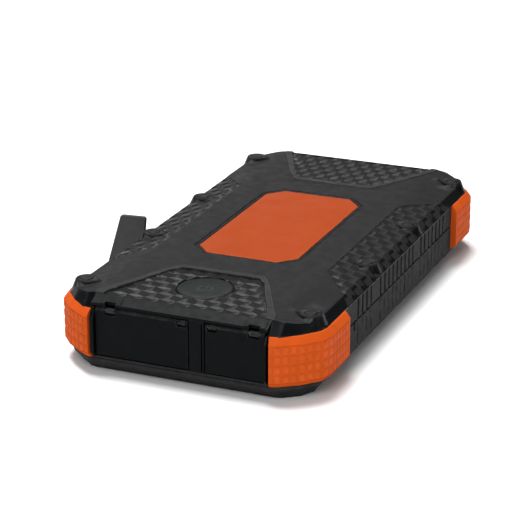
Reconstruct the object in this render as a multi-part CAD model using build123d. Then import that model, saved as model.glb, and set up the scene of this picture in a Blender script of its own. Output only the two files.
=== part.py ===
from build123d import *
import os

# Portable jump starter pack, modelled in millimetres.
# X runs across the pack, Y along it (the port end is at -Y), Z up.
# The origin is the centre of the flat underside.

# ---------------------------------------------------------------- driving dimensions
HALF_WIDTH = 50.2            # side walls
TOP_CENTRE_Z = 30.35         # highest point of the crowned roof
ROOF_EDGE_Z = 29.95          # roof where it starts to fall to the sides
ROOF_FLAT_X = 34.8           # half width of the nearly flat part of the roof
ROOF_SIDE = (47.0, 27.8)     # roof's outer edge, (x, z)
ROOF_END_Y = 91.5            # roof's end edge between the corners
ROOF_END_DROP = 0.55         # how far the roof falls from its centre to its ends
BAND_Z = 25.0                # lower edge of the cover's sloped band
FLANGE_Z = 6.0               # top of the bottom shell's flange
PARTING_Z = 16.2             # joint between the two shells
GASKET = 0.6                 # thickness of the gasket in that joint
WALL = 2.2                   # shell thickness
END_HALF = 34.5              # half width of the opening at each end
END_REACH_Y = 88.0           # how far in that opening goes below the roof
BUMPER_END_Y = 62.15         # where the bumpers stop on the side walls
BUMPER_GAP = 0.25            # between a bumper and the shells above, below and beside it
BUMPER_SEAT = 0.05           # between a bumper's flat top or base and the shell
BUMPER_BULGE = 1.9           # how far a bumper's knurled middle stands out from its edges
BUMPER_BULGE_Z = (7.7, 22.4) # where that bulge is full
BUMPER_SIDE_X = 50.9         # outer face of a bumper's side wing, at its edges

# plan outlines of one corner, from the end face round to the side
BAND_CORNER = [(34.4, 95.6), (38.3, 95.0), (44.2, 90.2), (49.3, 84.0), (50.4, 80.0)]
BUMPER_CORNER = [(34.9, 96.4), (37.4, 95.6), (44.5, 90.5), (49.8, 84.5), (50.8, 80.3)]
WALL_CORNER = [(34.5, 93.2), (36.4, 92.7), (42.5, 88.2), (47.1, 82.9), (47.9, 80.0)]
FLOOR_CORNER = [(35.2, 91.1), (37.8, 90.4), (43.0, 86.4), (45.8, 81.0), (45.6, 74.0)]
FLANGE_CORNER = [(35.0, 96.4), (37.4, 95.7), (44.5, 90.6), (49.7, 84.2), (50.2, 78.0)]
ROOF_TOP_CORNER = [(34.6, 90.7), (37.6, 89.6), (43.0, 87.0), (44.9, 82.6), (43.4, 78.0)]
LOFT_TOP_Z = 31.0            # height at which ROOF_TOP_CORNER is drawn

# screws
SCREW_X = 44.2
SCREW_Y = (80.0, 23.5)
BOSS_R = 4.3
BOSS_SKIRT = (6.0, 4.0)      # radii of the cone round a boss, at the band's lower edge and at the top
BOSS_TIP_X = 37.6
BOSS_TOP = {80.0: 29.75, 23.5: 29.05}
CAP_R = 2.5
SCREW_HEAD_R = 2.2
SCREW_R = 1.2
POST_R = 3.5
CAP_DEPTH = 1.5
HEAD_DEPTH = 1.8

# orange panel on the roof
PANEL_HALF = (20.2, 39.2)
PANEL_CUT = (6.0, 6.5)
FRAME_WIDTH = 1.7
PANEL_GAP = 0.25
PANEL_DEPTH = 1.3

# recessed trapezoids at both ends of the roof
RELIEF_DEPTH = 0.9
LIP_HEIGHT = 0.3
LIP_OUTER = [(34.9, 91.6), (34.6, 88.9), (21.2, 62.2), (16.6, 55.2)]
LIP_INNER = [(31.7, 91.6), (31.2, 89.0), (18.9, 61.9), (15.4, 58.0)]

# side recesses on the roof
SIDE_RECESS = [(34.8, 40.2), (52.0, 61.5)]
SIDE_RECESS_DEPTH = 0.6

# power button
BUTTON_Y = -72.4
BUTTON_R = 10.4
BUTTON_GAP = 0.35
BUTTON_TOP = 29.55
BUTTON_FLANGE_R = 11.6

# wall ribs: groove pitch, groove (width, depth) and the stretches of wall that carry them
RIB_PITCH = 4.66
RIB_GROOVE_UPPER = (1.8, 1.0)
RIB_GROOVE_LOWER = (1.1, 0.6)
RIB_GROUPS = [(-47.9, -33.9), (-23.5, 13.8), (23.6, 51.6)]

# port end
COVER_Y = -96.5
COVER_T = 1.9
COVER_Z = (7.6, 26.3)
COVERS = {"left": (-32.6, 3.9), "right": (10.6, 33.3)}
MULLION = (4.3, 10.2)
HINGE_R = 1.4
LUG_R = 1.1
HINGE_PIN_R = 0.6
HINGE_CLEAR = 0.05
HINGE_Y = COVER_Y + HINGE_R
HINGE_Z = COVER_Z[1] - HINGE_R
PLATE_Y = (-93.3, -91.0)
SILL_Z = 7.0
SILL_Y = 96.0
HEADER_Z = (26.6, 27.6)
POST_CLEAR = 0.3             # between a cover's end and the upright post beside it
POST_PROFILE = [(-96.5, 7.05), (-97.9, 8.4), (-97.9, 22.2), (-96.5, 24.8)]
EARS = {"left": (-30.5, -22.7), "right": (25.5, 33.3)}
LUGS = {"left": [(-28.6, -24.8), (-0.2, 3.0)], "right": [(27.3, 31.1), (11.6, 14.8)]}

# lamp end
LAMP_HALF = (21.0, 5.2)
LAMP_Z = 16.2
LAMP_X = (-13.0, 0.0, 13.0)

# strap slot through the right wall: (x0, x1, y0, y1, z0, z1)
STRAP_SLOT = (46.2, 52.2, -52.3, -50.7, 12.9, 17.1)

# jumper cable socket in the left wall and its cover, which stands open at rest
SOCKET_Y = 1.5
SOCKET_Z = 16.0
SOCKET_MOUTH = (7.4, 15.2)
SOCKET_DEPTH = 6.5
SOCKET_BACK = 17.0
BEZEL_Y = (-13.0, 11.5)
BEZEL_Z = (7.6, 24.4)
FLAP_AXIS = (-51.5, -10.0)
FLAP_T = 1.8
FLAP_HINGE_R = 1.2
FLAP_PIN_R = 0.5
FLAP_Z = (7.6, 29.4)

# inside
FLOOR_TOP = 2.4
BOARD = (-39.0, 39.0, -85.5, 5.0)
BOARD_Z = 9.0
BOARD_T = 1.6
CELL = (76.0, 68.0, 6.6)
CELL_Y = 47.0
CELL_COUNT = 3

# ports behind the covers, standing on the main board
USB_A = {"usb_a_port_left": -23.0, "usb_a_port_right": -7.0}
USB_A_SIZE = (13.2, 5.8)
USB_C_X = 17.6
USB_C_SIZE = (9.2, 3.4)
DC_X = 27.6
DC_R = 4.0
PORT_Z = BOARD_Z + BOARD_T


# ---------------------------------------------------------------- helpers
def ring(corner):
    """Closed outline from one corner's points, mirrored to all four corners."""
    right_back = [(x, y) for x, y in corner]
    right_front = [(x, -y) for x, y in reversed(corner)]
    left_front = [(-x, -y) for x, y in corner]
    left_back = [(-x, y) for x, y in reversed(corner)]
    return right_back + right_front + left_front + left_back


def plate(points, z0, z1):
    """Prism on a plan outline between two heights."""
    face = make_face(Polyline(*points, close=True))
    return extrude(Pos(0, 0, z0) * face, z1 - z0)


def block(x0, x1, y0, y1, z0, z1):
    """Box between two corners."""
    box = Box(x1 - x0, y1 - y0, z1 - z0)
    return Pos((x0 + x1) / 2, (y0 + y1) / 2, (z0 + z1) / 2) * box


def round_block(x0, x1, y0, y1, z0, z1, radius, axis=Axis.Z):
    """Box with its four edges along one axis rounded."""
    box = block(x0, x1, y0, y1, z0, z1)
    return fillet(box.edges().filter_by(axis), radius)


def rod(radius, x, y, z0, z1):
    """Upright cylinder between two heights."""
    return Pos(x, y, (z0 + z1) / 2) * Cylinder(radius, z1 - z0)


def rod_x(radius, y, z, x0, x1):
    """Cylinder along X."""
    return Pos((x0 + x1) / 2, y, z) * Rot(0, 90, 0) * Cylinder(radius, x1 - x0)


def rod_y(radius, x, z, y0, y1):
    """Cylinder along Y."""
    return Pos(x, (y0 + y1) / 2, z) * Rot(90, 0, 0) * Cylinder(radius, y1 - y0)


def corners():
    """Signs of the four quarters of the pack."""
    return [(sx, sy) for sx in (-1, 1) for sy in (-1, 1)]


def save(node, shape):
    """Write one sub-part."""
    export_step(shape, "parts/" + node + ".step")


# ---------------------------------------------------------------- roof surface
def roof_under(lower=0.0):
    """Everything below the crowned roof, moved down by a thickness."""
    side_x, side_z = ROOF_SIDE
    slope = (ROOF_EDGE_Z - side_z) / (side_x - ROOF_FLAT_X)
    far_x = 60.0
    far_z = side_z - slope * (far_x - side_x)
    crown = ThreePointArc((-ROOF_FLAT_X, ROOF_EDGE_Z), (0, TOP_CENTRE_Z), (ROOF_FLAT_X, ROOF_EDGE_Z))
    rest = Polyline((ROOF_FLAT_X, ROOF_EDGE_Z), (far_x, far_z), (far_x, -5), (-far_x, -5),
                    (-far_x, far_z), (-ROOF_FLAT_X, ROOF_EDGE_Z))
    across = extrude(Plane.XZ * make_face(crown + rest), 110, both=True)
    end = 110.0
    drop = ROOF_END_DROP * (end / ROOF_END_Y) ** 2
    along_top = ThreePointArc((-end, TOP_CENTRE_Z - drop), (0, TOP_CENTRE_Z), (end, TOP_CENTRE_Z - drop))
    along_rest = Polyline((end, TOP_CENTRE_Z - drop), (end, -5), (-end, -5), (-end, TOP_CENTRE_Z - drop))
    along = extrude(Plane.YZ * make_face(along_top + along_rest), 70, both=True)
    return Pos(0, 0, -lower) * (across & along)


def boss_outline(sx, sy, y):
    """Teardrop around one screw, with its point towards the middle of the roof."""
    circle = Pos(sx * SCREW_X, sy * y) * Circle(BOSS_R)
    tip = Polyline((sx * BOSS_TIP_X, sy * y), (sx * SCREW_X, sy * y + BOSS_R - 0.1),
                   (sx * SCREW_X, sy * y - BOSS_R + 0.1), close=True)
    return circle + make_face(tip)


def trapezoid(points, sy, z0, z1):
    """Prism over one end's trapezoid with its two inner corners rounded."""
    outline = [(x, sy * y) for x, y in points]
    outline += [(-x, sy * y) for x, y in reversed(points)]
    body = plate(outline, z0, z1)
    inner = body.edges().filter_by(Axis.Z).filter_by_position(Axis.Y, -70, 70)
    return fillet(inner, 2.2)


def octagon(grow):
    """Outline of the roof panel, grown evenly."""
    x, y = PANEL_HALF[0] + grow, PANEL_HALF[1] + grow
    cx, cy = PANEL_CUT[0] + 0.41 * grow, PANEL_CUT[1] + 0.41 * grow
    return ring([(x - cx, y), (x, y - cy)])


# ---------------------------------------------------------------- walls shared by both shells
def wall_outline(inset=0.0):
    """Plan of the side walls: full width between the bumpers, stepped in behind them."""
    corner = [(x - inset, y - inset) for x, y in WALL_CORNER]
    step = BUMPER_END_Y - inset
    corner += [(WALL_CORNER[-1][0] - inset, step), (HALF_WIDTH - inset, step)]
    return ring(corner)


def rib_grooves(groove, z0, z1):
    """Upright grooves in both side walls, with the socket's stretch left plain."""
    width, depth = groove
    cuts = []
    for side in (-1, 1):
        for y0, y1 in RIB_GROUPS:
            count = round((y1 - y0) / RIB_PITCH) + 1
            for i in range(count):
                y = y0 + i * RIB_PITCH
                if side < 0 and BEZEL_Y[0] - width < y < BEZEL_Y[1] + width:
                    continue
                x = side * HALF_WIDTH
                cuts.append(block(x - depth, x + depth, y - width / 2, y + width / 2, z0, z1))
    return Compound(cuts)


def posts(z0, z1, radius):
    """Upright cylinders at the eight screws."""
    return [rod(radius, sx * SCREW_X, sy * y, z0, z1) for sx, sy in corners() for y in SCREW_Y]


def socket_window():
    """Opening in the left wall for the jumper socket's bezel."""
    gap = 0.15
    return block(-56, -44, BEZEL_Y[0] - gap, BEZEL_Y[1] + gap, BEZEL_Z[0] - gap, BEZEL_Z[1] + gap)


def end_openings():
    """Openings between the corners at both ends, deeper below the roof."""
    openings = []
    for sy in (-1, 1):
        for reach, top in ((ROOF_END_Y, 40), (END_REACH_Y, HEADER_Z[0])):
            y0, y1 = sorted((sy * reach, sy * 110))
            openings.append(block(-END_HALF, END_HALF, y0, y1, FLANGE_Z, top))
    return Compound(openings)


# ---------------------------------------------------------------- shells
def make_top_cover():
    """Roof, sloped band and upper half of the walls, in one moulding."""
    lower = make_face(Polyline(*ring(BAND_CORNER), close=True))
    upper = make_face(Polyline(*ring(ROOF_TOP_CORNER), close=True))
    band = loft([Pos(0, 0, BAND_Z) * lower, Pos(0, 0, LOFT_TOP_Z) * upper], ruled=True)
    cover = band & roof_under()

    # side recesses, a fixed depth below the sloping roof
    sunk = roof_under() - roof_under(SIDE_RECESS_DEPTH)
    for sx in (-1, 1):
        (x0, y0), (x1, y1) = SIDE_RECESS
        half = [(sx * x0, y0), (sx * x1, y1), (sx * 60, y1)]
        outline = half + [(x, -y) for x, y in reversed(half)]
        cover -= sunk & plate(outline, 20, 35)

    # raised lips round the end trapezoids, then the trapezoids themselves
    for sy in (-1, 1):
        lip = trapezoid(LIP_OUTER, sy, 24, 35) & roof_under(-LIP_HEIGHT)
        lip &= block(-40, 40, -ROOF_END_Y, ROOF_END_Y, 27.6, 35)
        cover += lip
        cover -= trapezoid(LIP_INNER, sy, 24, 35) & (roof_under(-2) - roof_under(RELIEF_DEPTH))

    # screw bosses
    for sx, sy in corners():
        for y in SCREW_Y:
            height = BOSS_TOP[y] - BAND_Z
            cover += extrude(Pos(0, 0, BAND_Z) * boss_outline(sx, sy, y), height)
            cover += Pos(sx * SCREW_X, sy * y, BAND_Z + height / 2) * Cone(*BOSS_SKIRT, height)

    # upper walls
    cover += plate(wall_outline(), PARTING_Z + GASKET / 2, BAND_Z)

    # hollow
    cover -= plate(wall_outline(WALL), 0, BAND_Z - 0.6)
    hollow = ring([(33.0, 89.0), (40.0, 86.0), (44.0, 81.0), (44.4, 76.0)])
    cover -= plate(hollow, BAND_Z - 1, 40) & roof_under(WALL)
    for post in posts(PARTING_Z + GASKET / 2, 27.0, POST_R):
        cover += post
    cover -= end_openings()

    # recess for the panel and its frame
    cover -= plate(octagon(FRAME_WIDTH + PANEL_GAP), TOP_CENTRE_Z - PANEL_DEPTH - 0.35, 40)

    # button bore
    cover -= rod(BUTTON_R + BUTTON_GAP, 0, BUTTON_Y, 20, 40)

    # screw holes: clearance, head seat and cap seat
    for sx, sy in corners():
        for y in SCREW_Y:
            x, yy, top = sx * SCREW_X, sy * y, BOSS_TOP[y]
            cover -= rod(SCREW_R + 0.2, x, yy, 10, 40)
            cover -= rod(SCREW_HEAD_R + 0.1, x, yy, top - CAP_DEPTH - HEAD_DEPTH, 40)
            cover -= rod(CAP_R + 0.05, x, yy, top - CAP_DEPTH, 40)

    cover -= rib_grooves(RIB_GROOVE_UPPER, PARTING_Z, BAND_Z)
    cover -= socket_window()
    return cover - block(*STRAP_SLOT)


def make_bottom_shell():
    """Floor, splayed lower edge and lower half of the walls."""
    floor = make_face(Polyline(*ring(FLOOR_CORNER), close=True))
    flange = make_face(Polyline(*ring(FLANGE_CORNER), close=True))
    shell = loft([floor, Pos(0, 0, FLANGE_Z - 0.9) * flange], ruled=True)
    shell += plate(ring(FLANGE_CORNER), FLANGE_Z - 0.9, FLANGE_Z)
    shell += plate(wall_outline(), FLANGE_Z, PARTING_Z - GASKET / 2)

    shell -= plate(wall_outline(WALL), FLANGE_Z - 0.5, 40)
    hollow = ring([(33.4, 87.6), (42.2, 77.4), (43.2, 69.0)])
    shell -= plate(hollow, FLOOR_TOP, FLANGE_Z)
    for post in posts(FLANGE_Z - 1.2, PARTING_Z - GASKET / 2, POST_R):
        shell += post
    for x, y in board_posts():
        shell += rod(2.6, x, y, FLOOR_TOP - 0.2, BOARD_Z)
    shell -= end_openings()
    x = END_HALF - 0.3
    shell += block(-x, x, -SILL_Y, PLATE_Y[0] - 0.1, FLANGE_Z - 0.5, SILL_Z)
    for hole in posts(FLANGE_Z - 0.6, 40, SCREW_R + 0.05):
        shell -= hole
    for x, y in board_posts():
        shell -= rod(0.95, x, y, 3.6, 20)
    shell -= rib_grooves(RIB_GROOVE_LOWER, FLANGE_Z + 0.6, PARTING_Z)
    shell -= socket_window()
    return shell - block(*STRAP_SLOT)


def board_posts():
    """Places of the four posts that carry the main board."""
    return [(-36.0, -62.0), (36.0, -62.0), (-20.0, 2.0), (36.0, 2.0)]


def make_gasket():
    """Seal in the joint between the shells, cut away at the ends and the socket."""
    inner = 1.5
    seal = plate(wall_outline(0.7), PARTING_Z - GASKET / 2, PARTING_Z + GASKET / 2)
    seal -= plate(wall_outline(inner), 0, 40)
    seal -= end_openings()
    seal -= block(-60, -44, BEZEL_Y[0] - 0.5, BEZEL_Y[1] + 0.5, 0, 40)
    return seal - block(*STRAP_SLOT)


def grown(corner, by):
    """One corner's outline moved outwards, with its two ends kept on the bumper's end faces."""
    points = [Vector(x, y) for x, y in corner]
    moved = [points[0] + Vector(0, by)]
    for before, point, after in zip(points, points[1:], points[2:]):
        d1, d2 = (point - before).normalized(), (after - point).normalized()
        n1, n2 = Vector(-d1.Y, d1.X), Vector(-d2.Y, d2.X)
        mitre = (n1 + n2).normalized()
        moved.append(point + mitre * (by / mitre.dot(n1)))
    moved.append(points[-1] + Vector(by, 0))
    return [(p.X, p.Y) for p in moved]


def bumper_section(sx, sy, grow):
    """Plan of a corner guard, from its outer face round to the face against the wall."""
    end_y = BUMPER_END_Y + BUMPER_GAP
    outer = grown(BUMPER_CORNER + [(BUMPER_SIDE_X, end_y)], grow)
    inner = [(WALL_CORNER[-1][0] + BUMPER_GAP, end_y)]
    inner += [(x + BUMPER_GAP, y + BUMPER_GAP) for x, y in reversed(WALL_CORNER)]
    inner[-1] = (BUMPER_CORNER[0][0], inner[-1][1])
    return make_face(Polyline(*[(sx * x, sy * y) for x, y in outer + inner], close=True))


def make_bumper(sx, sy):
    """Rubber corner guard, held between the cover's band and the bottom flange, with a bulged middle."""
    low, high = BUMPER_BULGE_Z
    levels = [(FLANGE_Z + BUMPER_SEAT, 0), (low, BUMPER_BULGE), (high, BUMPER_BULGE), (BAND_Z - BUMPER_SEAT, 0)]
    sections = [Pos(0, 0, z) * bumper_section(sx, sy, grow) for z, grow in levels]
    body = loft(sections[0:2], ruled=True)
    body += loft(sections[1:3], ruled=True)
    return body + loft(sections[2:4], ruled=True)


# ---------------------------------------------------------------- roof pieces
def make_top_panel():
    """Octagonal insert on the roof."""
    base = TOP_CENTRE_Z - PANEL_DEPTH
    panel = plate(octagon(0), base, 40) & roof_under(0.0)
    return fillet(panel.faces().sort_by(Axis.Z)[-1].edges(), 0.35)


def make_panel_frame():
    """Thin frame between the insert and the roof."""
    base = TOP_CENTRE_Z - PANEL_DEPTH - 0.35
    frame = plate(octagon(FRAME_WIDTH), base, 40) - plate(octagon(PANEL_GAP), base + 0.35, 40)
    return frame & roof_under(0.12)


def make_power_button():
    """Round key with a flange under the roof that keeps it in."""
    key = rod(BUTTON_R, 0, BUTTON_Y, 26.3, BUTTON_TOP)
    key = fillet(key.edges().sort_by(Axis.Z)[-1], 0.5)
    key += rod(BUTTON_FLANGE_R, 0, BUTTON_Y, 25.5, 26.4)
    key += rod(1.6, 0, BUTTON_Y, 24.0, 25.6)
    return key


def make_button_board():
    """Small board under the button."""
    board = round_block(-14, 14, BUTTON_Y - 9, BUTTON_Y + 9, 19.4, 20.6, 1.5)
    for x in (-11.5, 11.5):
        board -= rod(1.1, x, BUTTON_Y, 10, 30)
    return board


def make_button_bracket():
    """Bridge from the main board that carries the button board."""
    bridge = block(-14, 14, BUTTON_Y - 4, BUTTON_Y + 4, 17.9, 19.4)
    for x in (-12.6, 12.6):
        bridge += block(x - 1.4, x + 1.4, BUTTON_Y - 4, BUTTON_Y + 4, BOARD_Z + BOARD_T, 18.0)
    return bridge


def make_tact_switch():
    """Dome switch that the button presses."""
    body = round_block(-3, 3, BUTTON_Y - 3, BUTTON_Y + 3, 20.6, 22.6, 0.4)
    return body + rod(1.5, 0, BUTTON_Y, 22.5, 23.3)


# ---------------------------------------------------------------- fasteners
def make_cover_screws():
    """Eight screws from the roof into the bottom shell."""
    screws = []
    for sx, sy in corners():
        for y in SCREW_Y:
            x, yy = sx * SCREW_X, sy * y
            head_top = BOSS_TOP[y] - CAP_DEPTH - 0.3
            head_base = BOSS_TOP[y] - CAP_DEPTH - HEAD_DEPTH
            head = rod(SCREW_HEAD_R, x, yy, head_base, head_top)
            head -= extrude(Pos(x, yy, head_top - 0.8) * RegularPolygon(1.1, 6), 2)
            screws.append(head + rod(SCREW_R, x, yy, FLANGE_Z, head_base + 0.1))
    return Compound(screws)


def make_screw_caps():
    """Eight soft plugs over the screw heads."""
    caps = []
    for sx, sy in corners():
        for y in SCREW_Y:
            top = BOSS_TOP[y] + 0.25
            cap = rod(CAP_R, sx * SCREW_X, sy * y, BOSS_TOP[y] - CAP_DEPTH, top)
            caps.append(fillet(cap.edges().sort_by(Axis.Z)[-1], 0.3))
    return Compound(caps)


def make_board_screws():
    """Four screws that hold the main board."""
    screws = []
    for x, y in board_posts():
        top = BOARD_Z + BOARD_T
        screws.append(rod(0.9, x, y, 4.0, top + 0.1) + rod(1.8, x, y, top, top + 1.2))
    return Compound(screws)


# ---------------------------------------------------------------- port end
def make_front_fascia():
    """Plate with the port cut-outs, the header over the covers and the bar between them."""
    x = END_HALF - 0.15
    y_front, y_back = PLATE_Y
    z_low, z_nose = HEADER_Z
    profile = [(-ROOF_END_Y - 0.1, 29.55), (-96.2, z_nose), (-96.2, z_low), (y_front, z_low),
               (y_front, FLANGE_Z), (y_back, FLANGE_Z), (y_back, z_low), (-ROOF_END_Y - 0.1, z_low)]
    face = make_face(Polyline(*profile, close=True))
    fascia = extrude(Plane.YZ * face, x, both=True)

    # bar between the covers, with a groove near its right edge
    fascia += block(MULLION[0], MULLION[1], COVER_Y + 0.1, y_front, SILL_Z + 0.05, z_low)
    fascia -= block(9.0, 9.4, -98, COVER_Y + 0.9, SILL_Z, z_low - 0.8)

    # upright posts between the covers and the corner guards
    side = [(y_front, POST_PROFILE[0][1])] + POST_PROFILE + [(y_front, POST_PROFILE[-1][1])]
    for x0, x1 in ((-x, COVERS["left"][0] - POST_CLEAR), (COVERS["right"][1] + POST_CLEAR, x)):
        fascia += Pos(x0, 0, 0) * extrude(Plane.YZ * make_face(Polyline(*side, close=True)), x1 - x0)

    # hinge boxes on the header
    for x0, x1 in EARS.values():
        ear = extrude(Plane.YZ * make_face(Polyline((-92.0, 29.7), (-96.2, 27.95), (-96.2, z_low),
                                                    (-92.0, z_low), close=True)), x1 - x0)
        fascia += Pos(x0, 0, 0) * ear
        fascia -= block(x0 + 1.7, x1 - 1.9, -98, -94.2, HINGE_Z, 28.3)

    # hinge lugs, two to a cover
    for name, (c0, c1) in COVERS.items():
        for a, b in LUGS[name]:
            lug = rod_x(LUG_R, HINGE_Y, HINGE_Z, a, b)
            lug += block(a, b, HINGE_Y, y_front, HINGE_Z - LUG_R, HINGE_Z + LUG_R)
            fascia += lug
        fascia -= rod_x(HINGE_PIN_R + 0.01, HINGE_Y, HINGE_Z, c0 + 0.4, c1 - 0.4)

    # port cut-outs
    for cut in port_cuts():
        fascia -= cut
    return fascia


def port_cuts():
    """Openings in the fascia, one for each port."""
    gap = 0.2
    cuts = []
    for x in USB_A.values():
        w, h = USB_A_SIZE
        cuts.append(block(x - w / 2 - gap, x + w / 2 + gap, -98, -88, PORT_Z - gap, PORT_Z + h + gap))
    w, h = USB_C_SIZE
    cuts.append(round_block(USB_C_X - w / 2 - gap, USB_C_X + w / 2 + gap, -98, -88,
                            PORT_Z + 0.6 - gap, PORT_Z + 0.6 + h + gap, 1.7, Axis.Y))
    cuts.append(rod_y(DC_R + gap, DC_X, PORT_Z + DC_R + 0.4, -98, -88))
    return cuts


def make_port_cover(name):
    """Lift-up cover over the ports, hinged along its top edge."""
    x0, x1 = COVERS[name]
    back = COVER_Y + COVER_T
    z0, z1 = COVER_Z
    cover = block(x0, x1, COVER_Y, back, z0, HINGE_Z)
    cover += rod_x(HINGE_R, HINGE_Y, HINGE_Z, x0, x1)
    for a, b in LUGS[name]:
        cover -= block(a - 0.25, b + 0.25, COVER_Y - 1, back + 3, HINGE_Z - LUG_R - 0.4, z1 + 1)
    cover -= rod_x(HINGE_PIN_R + HINGE_CLEAR, HINGE_Y, HINGE_Z, x0 - 1, x1 + 1)
    # finger lip behind the lower edge
    cover += block(x0 + 1.5, x1 - 1.5, back - 0.1, back + 0.7, z0 + 2.0, z0 + 3.2)
    return cover


def make_cover_pin(name):
    """Hinge pin of a port cover."""
    x0, x1 = COVERS[name]
    return rod_x(HINGE_PIN_R, HINGE_Y, HINGE_Z, x0 + 0.5, x1 - 0.5)


def make_usb_a(x):
    """USB-A receptacle: pressed shell with its contact tongue."""
    w, h = USB_A_SIZE
    shell = block(x - w / 2, x + w / 2, -93.2, -80.0, PORT_Z, PORT_Z + h)
    shell -= block(x - w / 2 + 0.4, x + w / 2 - 0.4, -94, -81.0, PORT_Z + 0.4, PORT_Z + h - 0.4)
    return shell + block(x - 5.4, x + 5.4, -92.4, -80.9, PORT_Z + 3.1, PORT_Z + 4.5)


def make_usb_c():
    """USB-C receptacle."""
    w, h = USB_C_SIZE
    low = PORT_Z + 0.6
    shell = round_block(USB_C_X - w / 2, USB_C_X + w / 2, -93.2, -85.0, low, low + h, 1.6, Axis.Y)
    shell -= round_block(USB_C_X - w / 2 + 0.35, USB_C_X + w / 2 - 0.35, -94, -86.0,
                         low + 0.35, low + h - 0.35, 1.3, Axis.Y)
    shell += block(USB_C_X - 3.2, USB_C_X + 3.2, -92.4, -85.9, low + 1.35, low + 2.05)
    return shell + block(USB_C_X - 3.5, USB_C_X + 3.5, -90.5, -85.5, PORT_Z, low + 0.2)


def make_dc_jack():
    """Round charging jack."""
    z = PORT_Z + DC_R + 0.4
    jack = block(DC_X - 4.5, DC_X + 4.5, -90.6, -79.0, PORT_Z, z + 4.4)
    jack += rod_y(DC_R, DC_X, z, -93.2, -90.5)
    jack -= rod_y(2.8, DC_X, z, -94, -81.0)
    return jack + rod_y(1.05, DC_X, z, -91.8, -80.9)


# ---------------------------------------------------------------- lamp end
def lamp_block(grow, y0, y1):
    """Rounded block on the lamp's outline."""
    x, z = LAMP_HALF[0] + grow, LAMP_HALF[1] + grow
    return round_block(-x, x, y0, y1, LAMP_Z - z, LAMP_Z + z, z - 0.6, Axis.Y)


def make_rear_fascia():
    """Rear plate with its header and the lamp window."""
    x = END_HALF - 0.15
    z_nose = HEADER_Z[1]
    profile = [(ROOF_END_Y + 0.1, 29.55), (95.7, z_nose), (95.9, z_nose - 1.0), (95.9, FLANGE_Z),
               (ROOF_END_Y + 0.2, FLANGE_Z)]
    fascia = extrude(Plane.YZ * make_face(Polyline(*profile, close=True)), x, both=True)
    fascia -= lamp_block(1.6, 95.2, 99)
    fascia -= lamp_block(0.2, 90, 99)
    for z in (8.6, 23.8):
        fascia -= block(-x + 2.5, x - 2.5, 95.4, 97, z - 0.3, z + 0.3)
    return fascia


def make_lamp_lens():
    """Clear window of the lamp."""
    lens = lamp_block(0.0, 93.4, 95.3)
    return lens + lamp_block(1.3, 95.2, 95.7)


def make_lamp_reflector():
    """Bright tray behind the lens."""
    tray = lamp_block(-0.4, 88.6, 93.2)
    for x in LAMP_X:
        tray -= Pos(x, 91.6, LAMP_Z) * Rot(-90, 0, 0) * Cone(2.0, 4.4, 3.4)
        tray -= rod_y(2.0, x, LAMP_Z, 88, 91)
    return tray


def make_lamp_board():
    """Strip with the three emitters."""
    board = block(-22, 22, 87.2, 88.4, LAMP_Z - 5, LAMP_Z + 5)
    for x in LAMP_X:
        board += block(x - 1.25, x + 1.25, 88.3, 89.2, LAMP_Z - 1.25, LAMP_Z + 1.25)
    return board


# ---------------------------------------------------------------- jumper socket and its cover
def make_jumper_socket():
    """Insulating block with the keyed mouth, the bezel in the wall and the cover's hinge lugs."""
    y0, y1 = BEZEL_Y
    z0, z1 = BEZEL_Z
    wall_x = -HALF_WIDTH
    body = round_block(wall_x, wall_x + 2.6, y0, y1, z0, z1, 1.5, Axis.X)
    w, h = SOCKET_MOUTH
    cy, cz = SOCKET_Y, SOCKET_Z
    body += block(wall_x + 2.5, wall_x + SOCKET_BACK, cy - w / 2 - 1.4, cy + w / 2 + 1.4,
                  cz - h / 2 - 0.7, cz + h / 2 + 0.6)
    mouth = block(wall_x - 1, wall_x + SOCKET_DEPTH, cy - w / 2, cy + w / 2, cz - h / 2, cz + h / 2)
    top = mouth.edges().filter_by(Axis.X).sort_by(Axis.Z)[-2:]
    mouth = fillet(top, 3.0)
    body -= mouth
    for dz in (-3.9, 3.9):
        body -= rod_x(2.75, cy, cz + dz, wall_x + 4, wall_x + SOCKET_BACK + 1)
    # hinge lugs
    ax, ay = FLAP_AXIS
    for a, b in ((9.2, 11.4), (18.8, 21.0)):
        body += rod(FLAP_HINGE_R, ax, ay, a, b)
        body += block(ax, wall_x + 0.2, ay - FLAP_HINGE_R, ay + FLAP_HINGE_R, a, b)
    body -= rod(FLAP_PIN_R + 0.01, ax, ay, 9.6, 20.6)
    return body


def make_jumper_contact(dz):
    """Split sleeve contact with its solder cup."""
    x0, x1 = -HALF_WIDTH + SOCKET_DEPTH + 0.4, -HALF_WIDTH + SOCKET_BACK + 4.0
    z = SOCKET_Z + dz
    sleeve = rod_x(2.65, SOCKET_Y, z, x0, x1) - rod_x(2.0, SOCKET_Y, z, x0 - 1, x1 - 5)
    sleeve -= rod_x(1.9, SOCKET_Y, z, x1 - 3.5, x1 + 1)
    return sleeve


def flap_outline():
    """Cover outline as (distance from the hinge, height)."""
    z0, z1 = FLAP_Z
    return [(2.5, z1), (13.6, z1 - 0.5), (19.9, z0), (3.2, z0), (3.2, 22.6)]


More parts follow.
